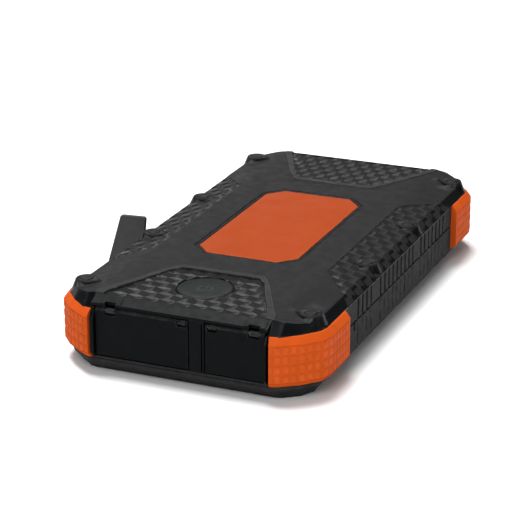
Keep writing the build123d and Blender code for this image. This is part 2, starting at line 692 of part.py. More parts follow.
def make_socket_cover():
    """Cover of the jumper socket, standing straight out from the wall."""
    ax, ay = FLAP_AXIS
    points = [(ax - s, z) for s, z in flap_outline()]
    face = Plane.XZ * make_face(Polyline(*points, close=True))
    flap = extrude(Pos(0, ay + FLAP_T / 2, 0) * face, FLAP_T)
    corners_y = flap.edges().filter_by(Axis.Y)
    free = corners_y.filter_by(lambda e: e.center().X < ax - 10 or e.center().Z > 26)
    flap = fillet(free, 1.1)
    # knuckle between the lugs, and the arm to it
    flap += rod(FLAP_HINGE_R, ax, ay, 11.6, 18.6)
    flap += block(ax - 4.0, ax, ay - FLAP_T / 2, ay + FLAP_T / 2, 11.6, 18.6)
    flap -= rod(FLAP_PIN_R + HINGE_CLEAR, ax, ay, 8, 22)
    return flap


def make_cover_seal():
    """Soft plug on the cover's inner side that closes the socket's mouth."""
    ax, ay = FLAP_AXIS
    w, h = SOCKET_MOUTH
    gap = 0.5
    s = SOCKET_Y - ay
    x0, x1 = ax - s - w / 2 + gap, ax - s + w / 2 - gap
    y0 = ay + FLAP_T / 2
    z0, z1 = SOCKET_Z - h / 2 + gap, SOCKET_Z + h / 2 - gap
    plug = block(x0, x1, y0, y0 + 2.2, z0, z1)
    plug = fillet(plug.edges().filter_by(Axis.Y).sort_by(Axis.Z)[-2:], 2.6)
    return plug - block(x0 + 1.2, x1 - 1.2, y0 + 0.8, y0 + 5, z0 + 1.2, z1 - 2.6)


def make_socket_cover_pin():
    """Hinge pin of the socket cover."""
    return rod(FLAP_PIN_R, FLAP_AXIS[0], FLAP_AXIS[1], 9.7, 20.5)


# ---------------------------------------------------------------- electronics and battery
def make_main_board():
    """Main circuit board with its largest components."""
    x0, x1, y0, y1 = BOARD
    board = block(x0, x1, y0, y1, BOARD_Z, BOARD_Z + BOARD_T)
    board -= block(x0 - 1, -24, -8, y1 + 1, 0, 40)
    for x, y in board_posts():
        board -= rod(1.1, x, y, 0, 40)
    top = BOARD_Z + BOARD_T
    for x, y, w, d, h in board_components():
        board += block(x - w / 2, x + w / 2, y - d / 2, y + d / 2, top - 0.1, top + h)
    return board


def board_components():
    """Largest components: place, width, depth and height."""
    chips = [(-20.0, -48.0, 12.0, 12.0, 4.5), (20.0, -48.0, 8.0, 8.0, 1.6)]
    chips += [(6.0 * i, -36.0, 3.2, 5.0, 1.2) for i in range(-4, 5)]
    return chips


def make_heat_spreader():
    """Finned plate over the switching transistors."""
    x0, x1, y0, y1 = -10, 30, -28, -6
    base = BOARD_Z + BOARD_T
    fin, pitch, count = 1.2, 3.2, 7
    spreader = block(x0, x1, y0, y1, base, base + 3.0)
    for i in range(count):
        y = y0 + 1.0 + i * pitch
        spreader += block(x0, x1, y, y + fin, base + 2.9, base + 9.0)
    return spreader


def make_cell(index):
    """One flat pouch cell with its two tabs."""
    w, d, t = CELL
    z0 = FLOOR_TOP + 0.8 + index * (t + 0.35)
    cell = block(-w / 2, w / 2, CELL_Y - d / 2, CELL_Y + d / 2, z0, z0 + t)
    cell = fillet(cell.edges().filter_by(Axis.Z), 3.0)
    edge, middle = CELL_Y - d / 2, z0 + t / 2
    for x in (-20.0, 20.0):
        cell += block(x - 5, x + 5, edge - 3.0, edge + 0.5, middle - 0.15, middle + 0.15)
    return cell


def make_foam(z0, z1):
    """Foam sheet against the cells."""
    w, d, t = CELL
    return round_block(-w / 2, w / 2, CELL_Y - d / 2, CELL_Y + d / 2, z0, z1, 3.0)


def make_busbar(x):
    """Bar that gathers the cell tabs on one side."""
    w, d, t = CELL
    y = CELL_Y - d / 2 - 3.0
    top = FLOOR_TOP + 0.8 + CELL_COUNT * (t + 0.35)
    return block(x - 6, x + 6, y - 0.9, y - 0.05, FLOOR_TOP + 2, top - 2)


# ---------------------------------------------------------------- write every sub-part
os.makedirs("parts", exist_ok=True)

save("top_cover", make_top_cover())
save("bottom_shell", make_bottom_shell())
save("perimeter_gasket", make_gasket())
for sx, x_name in ((-1, "left"), (1, "right")):
    for sy, y_name in ((-1, "front"), (1, "rear")):
        save("bumper_" + y_name + "_" + x_name, make_bumper(sx, sy))

save("top_panel", make_top_panel())
save("panel_frame", make_panel_frame())
save("power_button", make_power_button())
save("button_board", make_button_board())
save("button_bracket", make_button_bracket())
save("tact_switch", make_tact_switch())

save("cover_screws", make_cover_screws())
save("screw_caps", make_screw_caps())
save("board_screws", make_board_screws())

save("front_fascia", make_front_fascia())
for name in COVERS:
    save("port_cover_" + name, make_port_cover(name))
    save("port_cover_pin_" + name, make_cover_pin(name))
for node, x in USB_A.items():
    save(node, make_usb_a(x))
save("usb_c_port", make_usb_c())
save("dc_charge_jack", make_dc_jack())

save("rear_fascia", make_rear_fascia())
save("lamp_lens", make_lamp_lens())
save("lamp_reflector", make_lamp_reflector())
save("lamp_board", make_lamp_board())

save("jumper_socket", make_jumper_socket())
save("jumper_contact_positive", make_jumper_contact(3.9))
save("jumper_contact_negative", make_jumper_contact(-3.9))
save("socket_cover", make_socket_cover())
save("socket_cover_seal", make_cover_seal())
save("socket_cover_pin", make_socket_cover_pin())

save("main_circuit_board", make_main_board())
save("heat_spreader", make_heat_spreader())
for i in range(CELL_COUNT):
    save("battery_cell_" + str(i + 1), make_cell(i))
cells_top = FLOOR_TOP + 0.8 + CELL_COUNT * (CELL[2] + 0.35) - 0.35
save("foam_pad_lower", make_foam(FLOOR_TOP + 0.05, FLOOR_TOP + 0.75))
save("foam_pad_upper", make_foam(cells_top + 0.05, cells_top + 1.6))
save("busbar_positive", make_busbar(-20.0))
save("busbar_negative", make_busbar(20.0))
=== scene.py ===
import math

import bmesh
import bpy
import numpy as np
from mathutils import Matrix, Vector
from mathutils.geometry import delaunay_2d_cdt


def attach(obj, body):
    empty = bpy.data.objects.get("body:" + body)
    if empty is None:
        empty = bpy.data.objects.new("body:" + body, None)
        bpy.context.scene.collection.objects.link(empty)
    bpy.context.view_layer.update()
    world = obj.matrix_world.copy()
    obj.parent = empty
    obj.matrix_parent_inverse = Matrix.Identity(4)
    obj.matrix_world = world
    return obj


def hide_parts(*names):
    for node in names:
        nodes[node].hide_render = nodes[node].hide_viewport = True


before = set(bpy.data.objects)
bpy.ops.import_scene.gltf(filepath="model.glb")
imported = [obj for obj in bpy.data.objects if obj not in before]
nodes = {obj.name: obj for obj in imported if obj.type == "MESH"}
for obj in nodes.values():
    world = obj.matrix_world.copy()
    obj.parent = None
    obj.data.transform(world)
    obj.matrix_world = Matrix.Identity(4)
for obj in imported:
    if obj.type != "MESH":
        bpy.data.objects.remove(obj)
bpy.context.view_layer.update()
MM = 0.001


# ---------------------------------------------------------------- mesh helpers
# they take millimetres and make meshes in metres
def new_object(name, bm):
    mesh = bpy.data.meshes.new(name)
    bm.to_mesh(mesh)
    bm.free()
    obj = bpy.data.objects.new(name, mesh)
    bpy.context.scene.collection.objects.link(obj)
    return obj


def from_lists(name, verts, faces):
    """Mesh from points and faces; a face given twice is made once."""
    bm = bmesh.new()
    vs = [bm.verts.new(Vector(v) * MM) for v in verts]
    for f in faces:
        if len(set(f)) > 2:
            try:
                bm.faces.new([vs[i] for i in dict.fromkeys(f)])
            except ValueError:
                pass
    bmesh.ops.recalc_face_normals(bm, faces=bm.faces)
    return new_object(name, bm)


WEIGHT_OF_LARGE_FACES = 60       # for the weighted normals
SHARP_EDGE = 25                  # degrees from which an edge is rounded
WORN_BEND = 0.15                 # radians by which a corner has to stick out to wear


def shade(obj, angle=32):
    """Smooth shading with hard edges above an angle."""
    for p in obj.data.polygons:
        p.use_smooth = True
    obj.data.set_sharp_from_angle(angle=math.radians(angle))
    m = obj.modifiers.new("normals", "WEIGHTED_NORMAL")
    m.keep_sharp = True
    m.weight = WEIGHT_OF_LARGE_FACES
    return obj


def bevel_edges(bm, width, angle=SHARP_EDGE, pick=None):
    """Rounds every edge sharper than an angle, and marks each rounding's crest for edge wear."""
    edges = [e for e in bm.edges
             if len(e.link_faces) == 2 and e.calc_face_angle(0) > math.radians(angle)]
    if pick:
        edges = [e for e in edges if pick(e)]
    bmesh.ops.bevel(bm, geom=edges, offset=width * MM, segments=2, profile=0.5, affect="EDGES",
                    clamp_overlap=False, loop_slide=True)
    layer = bm.verts.layers.float.get("edge") or bm.verts.layers.float.new("edge")
    small = (width * MM * 1.2) ** 2 * 40
    for v in bm.verts:
        convex = sum(e.calc_face_angle_signed(0) for e in v.link_edges if len(e.link_faces) == 2)
        if v.link_faces and all(f.calc_area() < small for f in v.link_faces) and convex > WORN_BEND:
            v[layer] = 1.0


def cleaned(node):
    """A bmesh of a CAD node's mesh with its flat faces joined up."""
    bm = bmesh.new()
    bm.from_mesh(nodes[node].data)
    bmesh.ops.remove_doubles(bm, verts=bm.verts, dist=2e-6)
    bmesh.ops.dissolve_limit(bm, angle_limit=math.radians(0.03), verts=bm.verts, edges=bm.edges,
                             delimit={"NORMAL"})
    return bm


def finish_piece(obj, body, slot, mat, *replaced):
    """Gives a piece its material and body, and hides the CAD nodes it stands for; the slot is not
    used.
    """
    if mat:
        obj.data.materials.clear()
        obj.data.materials.append(mat)
    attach(obj, body)
    if replaced:
        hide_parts(*replaced)


def rounded(node, width, name, slot, mat, body="root", angle=SHARP_EDGE):
    """A piece with a CAD node's shape and softened edges."""
    bm = cleaned(node)
    bevel_edges(bm, width, angle)
    finish_piece(shade(new_object(name, bm)), body, slot, MATS[mat], node)


def mirror(obj, axis):
    """Turns a mesh into its mirror image along X (0) or Y (1)."""
    for v in obj.data.vertices:
        v.co[axis] = -v.co[axis]
    obj.data.flip_normals()


def lathe(name, profile, centre, steps):
    """Solid of revolution about Z from (radius, height) points, closed on the axis."""
    verts, faces = [], []
    for r, h in profile:
        for i in range(steps):
            a = 2 * math.pi * i / steps
            verts.append((r * math.cos(a), r * math.sin(a), h))
    n = len(profile)
    for k in range(n - 1):
        low, high = k * steps, (k + 1) * steps
        for i in range(steps):
            j = (i + 1) % steps
            faces.append((low + i, low + j, high + j, high + i))
    verts.append((0, 0, profile[0][1]))
    verts.append((0, 0, profile[-1][1]))
    lo, hi = n * steps, n * steps + 1
    for i in range(steps):
        j = (i + 1) % steps
        faces.append((lo, j, i))
        faces.append((hi, (n - 1) * steps + i, (n - 1) * steps + j))
    verts = [tuple(a + b for a, b in zip(v, centre)) for v in verts]
    return from_lists(name, verts, faces)


def join(name, parts):
    """One mesh from several objects."""
    bm = bmesh.new()
    for o in parts:
        bm.from_mesh(o.data)
        bpy.data.objects.remove(o)
    return new_object(name, bm)


def prism(points, z0, z1):
    """Upright solid over a closed outline."""
    n = len(points)
    verts = [(x, y, z0) for x, y in points] + [(x, y, z1) for x, y in points]
    faces = [tuple(range(n)), tuple(range(2 * n - 1, n - 1, -1))]
    faces += [(i, (i + 1) % n, n + (i + 1) % n, n + i) for i in range(n)]
    return from_lists("tool", verts, faces)


def boolean(obj, tool, operation):
    """Cuts a mesh with a tool object, which is used up."""
    m = obj.modifiers.new("cut", "BOOLEAN")
    m.operation, m.object, m.solver = operation, tool, "EXACT"
    dg = bpy.context.evaluated_depsgraph_get()
    mesh = bpy.data.meshes.new_from_object(obj.evaluated_get(dg))
    obj.modifiers.clear()
    obj.data = mesh
    bpy.data.objects.remove(tool)


# ---------------------------------------------------------------- materials
def node(tree, kind, at, **inputs):
    n = tree.nodes.new(kind)
    n.location = at
    for k, v in inputs.items():
        n.inputs[k.replace("_", " ")].default_value = v
    return n


def surface(name, base, tone=0.12, rough=0.5, rough_var=0.08, specular=0.3, grain=0.35,
            grain_height=0.03, grain_strength=0.35, mottle=6.0, edge_wear_and_highlight=None, edge_wear_and_highlight_amount=0.0,
            dust=0.0, metallic=0.0, coat=0.0, transmission=0.0, scratches=0.0, spots=0.0,
            knurl=0.0, knurl_height=0.0):
    """Moulded, painted or bare surface: colour clouds, grain, a fine diamond pattern, scratches,
    lighter edges (wear, and on the roof and the panel's frame a painted highlight) and a little
    dust. Sizes are in millimetres."""
    m = bpy.data.materials.new(name)
    m.use_nodes = True
    t = m.node_tree
    t.nodes.clear()
    out = node(t, "ShaderNodeOutputMaterial", (1200, 0))
    bsdf = node(t, "ShaderNodeBsdfPrincipled", (900, 0))
    t.links.new(bsdf.outputs[0], out.inputs[0])
    bsdf.inputs["Metallic"].default_value = metallic
    bsdf.inputs["Specular IOR Level"].default_value = specular
    bsdf.inputs["Coat Weight"].default_value = coat
    bsdf.inputs["Coat Roughness"].default_value = 0.2
    bsdf.inputs["Transmission Weight"].default_value = transmission
    coords = node(t, "ShaderNodeTexCoord", (-1200, 0)).outputs["Object"]

    def noise(size, detail, at, roughness=0.5, vector=None):
        n = node(t, "ShaderNodeTexNoise", at, Scale=1000.0 / size, Detail=detail,
                 Roughness=roughness)
        t.links.new(vector or coords, n.inputs["Vector"])
        return n.outputs["Fac"]

    def ramp(value, lo, hi, at, out_lo=0.0, out_hi=1.0):
        n = node(t, "ShaderNodeMapRange", at)
        for k, v in zip(("From Min", "From Max", "To Min", "To Max"), (lo, hi, out_lo, out_hi)):
            n.inputs[k].default_value = v
        t.links.new(value, n.inputs["Value"])
        return n.outputs["Result"]

    def mix(factor, a, b, at):
        n = node(t, "ShaderNodeMix", at)
        n.data_type = "RGBA"
        for value, socket in ((factor, n.inputs[0]), (a, n.inputs[6]), (b, n.inputs[7])):
            if isinstance(value, (tuple, float)):
                socket.default_value = value
            else:
                t.links.new(value, socket)
        return n.outputs[2]

    def maths(operation, at, *values):
        n = node(t, "ShaderNodeMath", at)
        n.operation = operation
        for value, socket in zip(values, n.inputs):
            if isinstance(value, float):
                socket.default_value = value
            else:
                t.links.new(value, socket)
        return n.outputs[0]

    def shade_of(colour, gain):
        return tuple(min(1.0, c * gain) for c in colour[:3]) + (1.0,)

    clouds = ramp(noise(mottle, 4, (-900, 300)), 0.3, 0.7, (-700, 300))
    colour = mix(clouds, shade_of(base, 1 - tone), shade_of(base, 1 + tone), (-450, 300))
    fine = noise(grain, 2, (-900, -300), 0.6)
    speck = ramp(fine, 0.35, 0.7, (-700, 60))
    speck = ramp(speck, 0, 1, (-600, 60), 0.0, 0.55)
    colour = mix(speck, colour, shade_of(base, 1 + 1.6 * tone), (-250, 300))
    if spots:
        marks = ramp(noise(1.7, 3, (-900, 560), 0.7), 0.62, 0.74, (-700, 560), 0.0, spots)
        colour = mix(marks, colour, shade_of(base, 1.6), (-100, 420))
    # lighter colour on the edges marked 'edge': wear, and on the roof and the panel's frame a
    # painted highlight
    if edge_wear_and_highlight_amount:
        attr = t.nodes.new("ShaderNodeAttribute")
        attr.attribute_name = "edge"
        attr.location = (-900, 800)
        patchy = ramp(noise(3.0, 3, (-900, 980)), 0.4, 0.62, (-700, 980), 0.3, 1.0)
        wear_and_highlight_share = maths("MULTIPLY", (-450, 860), attr.outputs["Fac"], patchy)
        wear_and_highlight_share = ramp(wear_and_highlight_share, 0.0, 1.0, (-250, 860), 0.0, edge_wear_and_highlight_amount)
        colour = mix(wear_and_highlight_share, colour, tuple(edge_wear_and_highlight) + (1.0,), (100, 500))
    if dust:
        dusty = ramp(noise(9.0, 5, (-900, 1200), 0.65), 0.5, 0.8, (-700, 1200), 0.0, dust)
        colour = mix(dusty, colour, DUST, (350, 500))
    t.links.new(colour, bsdf.inputs["Base Color"])

    level = ramp(noise(mottle * 0.6, 4, (-900, -60)), 0.3, 0.7, (-450, -60),
                 rough - rough_var, rough + rough_var)
    t.links.new(level, bsdf.inputs["Roughness"])

    height = fine
    if scratches:
        stretch = node(t, "ShaderNodeMapping", (-1100, -600))
        stretch.inputs["Scale"].default_value = (1.0, 14.0, 1.0)
        stretch.inputs["Rotation"].default_value = (0.0, 0.0, 0.5)
        t.links.new(coords, stretch.inputs["Vector"])
        lines = noise(4.0, 3, (-900, -600), 0.6, stretch.outputs[0])
        lines = ramp(lines, 0.66, 0.74, (-700, -600), 0.0, scratches)
        height = maths("SUBTRACT", (-450, -450), fine, lines)
    if knurl:
        parts = t.nodes.new("ShaderNodeSeparateXYZ")
        t.links.new(coords, parts.inputs[0])
        turn = math.pi / (knurl * MM * math.sqrt(0.5))
        waves = []
        for sign in ("ADD", "SUBTRACT"):
            diagonal = maths(sign, (-900, -800), parts.outputs["X"], parts.outputs["Y"])
            angle = maths("MULTIPLY", (-750, -800), diagonal, turn)
            waves.append(maths("SINE", (-600, -800), angle))
        cross = maths("MULTIPLY", (-450, -800), *waves)
        height = maths("MULTIPLY_ADD", (-300, -700), cross, knurl_height / grain_height, height)
    bump = node(t, "ShaderNodeBump", (600, -300), Strength=grain_strength,
                Distance=grain_height * MM)
    t.links.new(height, bump.inputs["Height"])
    t.links.new(bump.outputs[0], bsdf.inputs["Normal"])
    return m


def srgb(*levels):
    """Linear colour from levels of 0 to 255."""
    return tuple((c / 255 / 12.92) if c <= 10 else ((c / 255 + 0.055) / 1.055) ** 2.4
                 for c in levels)


EDGE_WEAR_AND_HIGHLIGHT = (0.13, 0.13, 0.13)        # worn edge of the case plastic, and the painted highlight along the roof's bends
DUST = (0.25, 0.25, 0.24, 1.0)
MATS = {
    # On the roof's bends the lighter edge colour is a painted highlight, strongest along the lips.
    "case": surface("case_plastic_matte", (0.0160, 0.0156, 0.0166), tone=0.16, rough=0.55,
        specular=0.06, grain=0.55, grain_height=0.05, grain_strength=0.6, edge_wear_and_highlight=EDGE_WEAR_AND_HIGHLIGHT,
        edge_wear_and_highlight_amount=0.4, dust=0.012, mottle=7, knurl=0.95, knurl_height=0.05),
    "lip": surface("case_plastic_lip", (0.0235, 0.0230, 0.0242), tone=0.16, rough=0.5, specular=0.1,
        grain=0.55, grain_height=0.05, grain_strength=0.4, edge_wear_and_highlight=EDGE_WEAR_AND_HIGHLIGHT, edge_wear_and_highlight_amount=0.6, mottle=7),
    # The case plastic made lighter for the walls and the floor moulding: a painted sheen standing
    # in for the glancing reflection on the walls.
    "wall": surface("case_plastic_wall", (0.0215, 0.0213, 0.0220), tone=0.25, rough=0.55,
        specular=0.02, grain=0.6, grain_height=0.06, grain_strength=0.5, edge_wear_and_highlight=EDGE_WEAR_AND_HIGHLIGHT,
        edge_wear_and_highlight_amount=0.45, mottle=4, spots=0.05),
    # The lighter colour on the band's bends is a painted highlight along its lower edge.
    "band": surface("case_plastic_satin", (0.002, 0.0026, 0.0029), tone=0.15, rough=0.32,
        specular=0.08, grain=0.5, grain_height=0.02, grain_strength=0.15, edge_wear_and_highlight=(0.10, 0.10, 0.10),
        edge_wear_and_highlight_amount=0.3),
    "fascia": surface("fascia_plastic_satin", (0.0018, 0.0024, 0.0028), tone=0.15, rough=0.4,
        specular=0.05, grain=0.5, grain_height=0.02, grain_strength=0.2, edge_wear_and_highlight=(0.05, 0.05, 0.05),
        edge_wear_and_highlight_amount=0.5),
    "relief": surface("relief_plastic", (0.0122, 0.0120, 0.0127), tone=0.2, rough=0.44,
        specular=0.12, grain=0.5, grain_height=0.04, grain_strength=0.35, mottle=4),
    "button": surface("button_plastic", (0.0125, 0.0145, 0.0142), tone=0.14, rough=0.5,
        specular=0.1, grain=0.5, grain_height=0.04, grain_strength=0.3, edge_wear_and_highlight=EDGE_WEAR_AND_HIGHLIGHT, edge_wear_and_highlight_amount=0.4),
    # The lighter colour on the frame's rims is a painted highlight.
    "frame": surface("frame_plastic", (0.004, 0.0045, 0.005), tone=0.2, rough=0.45, specular=0.1,
        grain=0.5, edge_wear_and_highlight=(0.09, 0.09, 0.09), edge_wear_and_highlight_amount=0.35),
    "boss": surface("case_plastic_boss", (0.0075, 0.0075, 0.0080), tone=0.16, rough=0.5,
        specular=0.06, grain=0.55, grain_height=0.05, grain_strength=0.4, edge_wear_and_highlight=EDGE_WEAR_AND_HIGHLIGHT,
        edge_wear_and_highlight_amount=0.35, mottle=7),
    "orange": surface("panel_orange", (0.303, 0.0445, 0.0085), tone=0.05, rough=0.5, specular=0.04,
        grain=0.7, grain_height=0.03, grain_strength=0.25, mottle=14, edge_wear_and_highlight=srgb(215, 120, 80),
        edge_wear_and_highlight_amount=0.4, scratches=0.4, dust=0.01),
    "bumper": surface("bumper_rubber_orange", (0.476, 0.0665, 0.007), tone=0.08, rough=0.6,
        specular=0.05, grain=0.5, grain_height=0.05, grain_strength=0.4, mottle=6,
        edge_wear_and_highlight=srgb(225, 110, 60), edge_wear_and_highlight_amount=0.3),
    "cap": surface("cap_rubber_dark", (0.007, 0.0072, 0.0076), tone=0.2, rough=0.45, specular=0.15,
        grain=0.4, edge_wear_and_highlight=(0.1, 0.1, 0.1), edge_wear_and_highlight_amount=0.4),
    "cover": surface("cover_rubber_black", (0.0018, 0.0024, 0.0028), tone=0.18, rough=0.45,
        specular=0.05, grain=0.6, grain_height=0.03, grain_strength=0.3, edge_wear_and_highlight=(0.05, 0.05, 0.05),
        edge_wear_and_highlight_amount=0.4),
    "seal": surface("seal_rubber_black", (0.012, 0.012, 0.012), tone=0.2, rough=0.6, specular=0.3,
        grain=0.5),
    "tab": surface("cover_plastic_grey", (0.032, 0.0325, 0.033), tone=0.12, rough=0.55,
        specular=0.25, grain=0.6, grain_height=0.04, grain_strength=0.35, edge_wear_and_highlight=EDGE_WEAR_AND_HIGHLIGHT,
        edge_wear_and_highlight_amount=0.3),
    "socket": surface("socket_plastic_black", (0.012, 0.012, 0.013), tone=0.18, rough=0.45,
        specular=0.35, grain=0.5, edge_wear_and_highlight=(0.08, 0.08, 0.08), edge_wear_and_highlight_amount=0.4),
    "inner": surface("inner_plastic_grey", (0.06, 0.06, 0.065), tone=0.1, rough=0.5, grain=0.6),
    "steel": surface("screw_steel", (0.55, 0.55, 0.56), tone=0.1, rough=0.32, metallic=1.0,
        grain=0.3, mottle=2),
    "nickel": surface("connector_nickel", (0.62, 0.61, 0.58), tone=0.08, rough=0.25, metallic=1.0,
        grain=0.3, mottle=3),
    "brass": surface("contact_brass", (0.75, 0.55, 0.22), tone=0.12, rough=0.28, metallic=1.0,
        grain=0.3, mottle=2),
    "lens": surface("lens_clear", (0.92, 0.94, 0.95), tone=0.02, rough=0.06, rough_var=0.03,
        specular=0.5, grain=0.9, grain_height=0.004, grain_strength=0.1, transmission=0.92),
    "chrome": surface("reflector_chrome", (0.85, 0.86, 0.87), tone=0.03, rough=0.1, rough_var=0.04,
        metallic=1.0, grain=0.8, grain_height=0.01),
    "board": surface("circuit_board_green", (0.012, 0.07, 0.035), tone=0.25, rough=0.4,
        specular=0.5, grain=0.8, mottle=3, coat=0.3),
    "aluminium": surface("heat_aluminium", (0.55, 0.56, 0.57), tone=0.08, rough=0.38, metallic=1.0,
        grain=0.3, mottle=3),
    "foil": surface("cell_foil", (0.5, 0.51, 0.52), tone=0.1, rough=0.35, metallic=0.8, grain=1.2,
        mottle=8, grain_height=0.08),
    "foam": surface("foam_grey", (0.09, 0.09, 0.095), tone=0.25, rough=0.85, specular=0.1,
        grain=0.8, grain_height=0.2, grain_strength=0.8),
    "mark": surface("mark_print", (0.006, 0.02, 0.02), tone=0.15, rough=0.4, specular=0.3,
        grain=0.3),
}

# ---------------------------------------------------------------- sizes of the part, in millimetres
TOP_CENTRE_Z, ROOF_EDGE_Z, ROOF_FLAT_X, ROOF_SIDE = 30.35, 29.95, 34.8, (47.0, 27.8)
ROOF_END_Y, ROOF_END_DROP = 91.5, 0.55
BAND_Z, BAND_X, LOFT_TOP_Z, LOFT_TOP_X = 25.0, 50.4, 31.0, 43.4
RELIEF_DEPTH, LIP_HEIGHT, SIDE_DEPTH = 0.9, 0.3, 0.6
LIP_OUTER = [(34.9, 91.6), (34.6, 88.9), (21.2, 62.2), (16.6, 55.2)]
LIP_INNER = [(31.7, 91.6), (31.2, 89.0), (18.9, 61.9), (15.4, 58.0)]
SIDE_RECESS = [(34.8, 40.2), (52.0, 61.5)]
BAND_CUT, RELIEF_OUT_X = 0.5, 50.1
BUTTON_Y, BUTTON_R, BUTTON_GAP = -72.4, 10.4, 0.35
BUMPER = [(34.9, 96.4), (37.4, 95.6), (44.5, 90.5), (49.8, 84.5), (50.8, 80.3), (50.9, 62.4)]
SCREWS = [(44.2, 80.0, 29.75), (44.2, 23.5, 29.05)]
CAP_R, CAP_DEPTH = 2.5, 1.5
MIRRORS = [(-1, -1), (-1, 1), (1, -1), (1, 1)]


def roof_z(x, y):
    """Height of the crowned roof."""
    ax = abs(x)
    if ax <= ROOF_FLAT_X:
        z = TOP_CENTRE_Z - (TOP_CENTRE_Z - ROOF_EDGE_Z) * (ax / ROOF_FLAT_X) ** 2
    else:
        slope = (ROOF_EDGE_Z - ROOF_SIDE[1]) / (ROOF_SIDE[0] - ROOF_FLAT_X)
        z = ROOF_EDGE_Z - slope * (ax - ROOF_FLAT_X)
    along = TOP_CENTRE_Z - ROOF_END_DROP * (y / ROOF_END_Y) ** 2
    return min(z, along)


# ---------------------------------------------------------------- relief lattice
CELL, WAVE = 3.175, 0.66         # run and rise of one facet
ROW_PITCH, ROW_FLAT, ROW0 = 5.07, 3.9, -85.5
PHASE0 = -28.0 - CELL / 2
END_REACH, END_ROWS = (-33, 33), range(-1, 7)
SIDE_REACH, SIDE_ROWS = (33.0, 52.0), range(3, 31)
RELIEF_GAP, RELIEF_LIFT, RELIEF_BODY = 0.12, 0.02, 0.5
LIP_CORNER = 2.2
CUT_Z = (20, 40)                 # the cutting tools reach well past the roof on both sides


def wave(x, row):
    """Zigzag across X: climbs for one cell and falls for the next, each row half a pitch on."""
    u = (x - PHASE0) / (2 * CELL) + 0.5 * (row % 2)
    f = u - math.floor(u)
    return WAVE * (2 * f if f < 0.5 else 2 - 2 * f)


def lattice(name, x0, x1, rows, base):
    """Solid whose top is the zigzag relief over a base height function."""
    i0, i1 = math.floor((x0 - PHASE0) / CELL) - 1, math.ceil((x1 - PHASE0) / CELL) + 1
    xs = [PHASE0 + i * CELL for i in range(i0, i1 + 1)]
    lines = []
    for r in rows:
        y = ROW0 + r * ROW_PITCH
        lines.append((y - ROW_FLAT / 2, r))
        lines.append((y + ROW_FLAT / 2, r))
    verts, faces = [], []
    for y, r in lines:
        for x in xs:
            verts.append((x, y, base(x, y) + wave(x, r)))
    top = len(verts)
    for y, _ in lines:
        for x in xs:
            verts.append((x, y, base(x, y) - RELIEF_BODY))
    nx, ny = len(xs), len(lines)
    for j in range(ny - 1):
        for i in range(nx - 1):
            a = j * nx + i
            faces.append((a, a + 1, a + nx + 1, a + nx))
            faces.append((top + a, top + a + nx, top + a + nx + 1, top + a + 1))
    for j in range(ny - 1):
        for i in (0, nx - 1):
            a = j * nx + i
            faces.append((a, a + nx, top + a + nx, top + a))
    for i in range(nx - 1):
        for j in (0, ny - 1):
            a = j * nx + i
            faces.append((a, a + 1, top + a + 1, top + a))
    return from_lists(name, verts, faces)


def shrunk(points, by):
    """Polygon moved in by a distance."""
    pts = [Vector(p) for p in points]
    area = sum(a.x * b.y - b.x * a.y for a, b in zip(pts, pts[1:] + pts[:1]))
    turn = 1 if area > 0 else -1
    out = []
    for i, p in enumerate(pts):
        a, b = pts[i - 1], pts[(i + 1) % len(pts)]
        d1, d2 = (p - a).normalized(), (b - p).normalized()
        n1, n2 = Vector((-d1.y, d1.x)) * turn, Vector((-d2.y, d2.x)) * turn
        n = (n1 + n2).normalized()
        out.append(tuple(p + n * by / max(0.3, n.dot(n1))))
    return out


def rounded_corner(points, which, radius, steps=5):
    """Polygon with the corners named by index rounded."""
    out = []
    n = len(points)
    for i, p in enumerate(points):
        if i not in which:
            out.append(p)
            continue
        p, a, b = Vector(p), Vector(points[i - 1]), Vector(points[(i + 1) % n])
        da, db = (a - p).normalized(), (b - p).normalized()
        half = da.angle(db) / 2
        cut = radius / math.tan(half)
        start, end = p + da * cut, p + db * cut
        for k in range(steps + 1):
            t = k / steps
            out.append(tuple(start * (1 - t) ** 2 + p * 2 * t * (1 - t) + end * t ** 2))
    return out


def across_x(half):
    """Closed outline from its right or left half."""
    return half + [(-x, y) for x, y in reversed(half)]


def across_y(half):
    """Closed outline from its rear or front half."""
    return half + [(x, -y) for x, y in reversed(half)]


for sy, end in ((-1, "front"), (1, "rear")):
    relief = lattice("relief_" + end, *END_REACH, END_ROWS,
                     lambda x, y: roof_z(x, y) - RELIEF_DEPTH + RELIEF_LIFT)
    if sy > 0:
        mirror(relief, 1)
    outline = shrunk(across_x([(x, sy * y) for x, y in LIP_INNER]), RELIEF_GAP)
    boolean(relief, prism(rounded_corner(outline, {3, 4}, LIP_CORNER), *CUT_Z), "INTERSECT")
    if sy < 0:
        hole_r = BUTTON_R + BUTTON_GAP + 0.05
        hole = lathe("tool", [(hole_r, z) for z in CUT_Z], (0, BUTTON_Y, 0), 96)
        boolean(relief, hole, "DIFFERENCE")
    finish_piece(relief, "root", "case_plastic", MATS["relief"])


def side_floor(x, y):
    """Floor of the side recess: under the roof, then under the sloped band."""
    band = BAND_Z + (BAND_X - x) * (LOFT_TOP_Z - BAND_Z) / (BAND_X - LOFT_TOP_X)
    return min(roof_z(x, y) - SIDE_DEPTH, band - BAND_CUT) + RELIEF_LIFT


